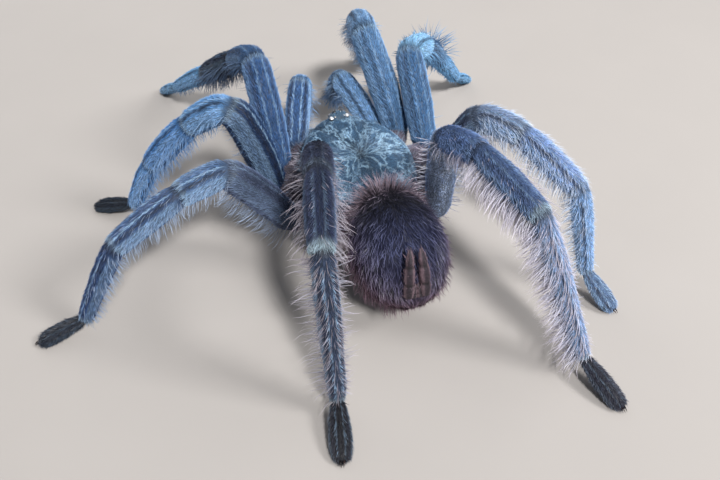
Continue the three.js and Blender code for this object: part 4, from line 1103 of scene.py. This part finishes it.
def grow(name, skins, sort, finish, seed, per_square_metre, size, lean):
    """One layer of coat as a plain mesh, from the tree over its own copy of some skins."""
    kit, share, combed, length_field = SORTS[sort]
    length, width, shortest = size
    sway, gather, rise, rise_spread = lean
    asked = {
        "Kit": kit, "Share": share, "Combed": combed, "Length field": length_field, "Finish": finish,
        "Seed": seed, "Per square metre": per_square_metre, "Length": length * MM, "Width": width * MM,
        "Shortest": shortest, "Sway": sway, "Gather": gather, "Rise": rise, "Rise spread": rise_spread,
    }
    ground = mesh_of(name + "_ground", skins, alone=True)
    one = ground.data.attributes.new("one", "FLOAT", "POINT")
    one.data.foreach_set("value", np.ones(len(ground.data.vertices)))
    planted = ground.modifiers.new("coat", "NODES")
    planted.node_group = COAT_TREE
    for item in COAT_TREE.interface.items_tree:
        if item.name in asked:
            planted[item.identifier] = asked[item.name]
    bpy.context.view_layer.update()
    seen = ground.evaluated_get(bpy.context.evaluated_depsgraph_get())
    mesh = bpy.data.meshes.new_from_object(seen)
    bpy.data.objects.remove(ground)
    for spent in SPENT:
        if spent in mesh.attributes:
            mesh.attributes.remove(mesh.attributes[spent])
    places = np.empty(len(mesh.vertices) * 3, np.float32)
    mesh.vertices.foreach_get("co", places)
    places[2::3] = np.maximum(places[2::3], FLOOR_CLEARANCE)
    mesh.vertices.foreach_set("co", places)
    mesh.name = name
    piece = bpy.data.objects.new(name, mesh)
    scene.collection.objects.link(piece)
    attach(piece, "root")


# How much single hairs differ in shade and in roughness.
SHADE_SPREAD = 0.35
ROUGHNESS_SPREAD = 0.2


def hair_finish(name, root, tip_shade, paleness, roughness=0.5):
    """A coat's finish: the skin's own markings, dark at the root and paler towards the tip."""
    material, wire = finish(name)
    tip = wire.attribute("tip")
    lot = wire.attribute("lot")
    shade = root + tip * (tip_shade - root) + (lot - 0.5) * SHADE_SPREAD
    colour = coat_colour(wire).blend(wire.attribute("pale", "Color"), (tip * 0.6 + 0.4) * paleness)
    surface(wire, base_color=colour.tint(shade), roughness=roughness + (lot - 0.5) * ROUGHNESS_SPREAD,
            specular_ior_level=0.3)
    return material


FUR_KIT = hair_kit("fur_kit", rows=2, lean=(0.30, 0.28), curl=0.0, thickness=0.1)
LONG_KIT = hair_kit("long_kit", rows=3, lean=(0.36, 0.12), curl=0.8, thickness=0.045)
BRISTLE_KIT = hair_kit("bristle_kit", rows=4, lean=(0.85, 0.15), curl=2.0, thickness=0.03)
HANGING_KIT = hair_kit("hanging_kit", rows=4, lean=(1.15, 0.5), curl=2.5, thickness=0.025)
# Each sort of hair: its kit, the share of the ground it takes, how it is combed and where its length is kept.
SORTS = {
    "fur": (FUR_KIT, "fur", "lie", "one"),
    "pad": (FUR_KIT, "pad", "lie", "one"),
    "feather": (LONG_KIT, "feather", "comb", "feather_reach"),
    "fringe": (BRISTLE_KIT, "fringe", "comb", "fringe_reach"),
    "hanging": (HANGING_KIT, "fringe", "comb", "fringe_reach"),
}
FUR_FINISH = hair_finish("leg_fur", root=0.25, tip_shade=2.0, paleness=0.05)
FEATHER_FINISH = hair_finish("feather", root=0.6, tip_shade=1.35, paleness=0.85)
FRINGE_FINISH = hair_finish("fringe", root=0.75, tip_shade=1.25, paleness=0.95)
PAD_FINISH = hair_finish("foot_pad", root=0.35, tip_shade=0.8, paleness=0.0, roughness=0.7)
VELVET_FINISH = hair_finish("velvet", root=0.35, tip_shade=1.1, paleness=0.1)
SAC_FINISH = hair_finish("sac_hair", root=0.35, tip_shade=1.7, paleness=0.85, roughness=0.42)

# Size: length and width in millimetres, where a length kept on the skin is multiplied by this one, and the
# shortest as a share. Lean: sway to each side, gathering into locks, the skin's own rise and its spread.
for number, limb in enumerate(limb_skins):
    turn = 10 * number
    grow(f"fur_{limb.name}", [limb], "fur", FUR_FINISH,
         seed=100 + turn, per_square_metre=4.2e7, size=(0.8, 0.11, 0.6), lean=(0.25, 1.2, 0.0, 0.12))
    grow(f"feather_{limb.name}", [limb], "feather", FEATHER_FINISH,
         seed=300 + turn, per_square_metre=2.0e7, size=(1.0, 0.09, 0.55), lean=(0.3, 1.4, 1.0, 0.15))
    grow(f"fringe_{limb.name}", [limb], "hanging", FRINGE_FINISH,
         seed=500 + turn, per_square_metre=1.6e7, size=(1.0, 0.09, 0.5), lean=(0.3, 1.6, 1.0, 0.25))
grow("foot_pads", limb_skins, "pad", PAD_FINISH,
     seed=700, per_square_metre=4.5e7, size=(0.6, 0.09, 0.7), lean=(0.9, 0.0, 0.0, 0.5))

front_skins = [*body_skins, *jaw_skins]
grow("fur_front_body", front_skins, "fur", FUR_FINISH,
     seed=710, per_square_metre=6.4e7, size=(0.55, 0.085, 0.6), lean=(0.3, 1.2, 0.0, 0.05))
grow("fringe_front_body", front_skins, "fringe", FRINGE_FINISH,
     seed=720, per_square_metre=6.0e6, size=(1.0, 0.07, 0.5), lean=(0.5, 0.0, 1.0, 0.3))
grow("feather_front_body", front_skins, "feather", FEATHER_FINISH,
     seed=730, per_square_metre=9.0e6, size=(1.0, 0.07, 0.5), lean=(0.5, 0.0, 1.0, 0.3))

grow("velvet_sac", [abdomen_skin, waist_skin], "fur", VELVET_FINISH,
     seed=810, per_square_metre=3.0e7, size=(0.9, 0.13, 0.6), lean=(0.35, 1.6, 0.0, 0.15))
grow("long_hair_sac", [abdomen_skin], "feather", SAC_FINISH,
     seed=820, per_square_metre=0.9e7, size=(1.0, 0.1, 0.6), lean=(0.4, 2.6, 0.3, 0.12))
grow("fringe_sac", [abdomen_skin], "fringe", SAC_FINISH,
     seed=830, per_square_metre=1.1e7, size=(1.0, 0.09, 0.5), lean=(0.4, 1.6, 1.0, 0.25))
grow("spinneret_hairs", spinneret_skins, "fringe", FRINGE_FINISH,
     seed=850, per_square_metre=8.0e6, size=(1.0, 0.06, 0.5), lean=(0.6, 1.6, 1.0, 0.3))
grow("spinneret_down", spinneret_skins, "fur", VELVET_FINISH,
     seed=840, per_square_metre=5.0e7, size=(0.35, 0.06, 0.5), lean=(0.5, 0.0, 0.0, 0.2))
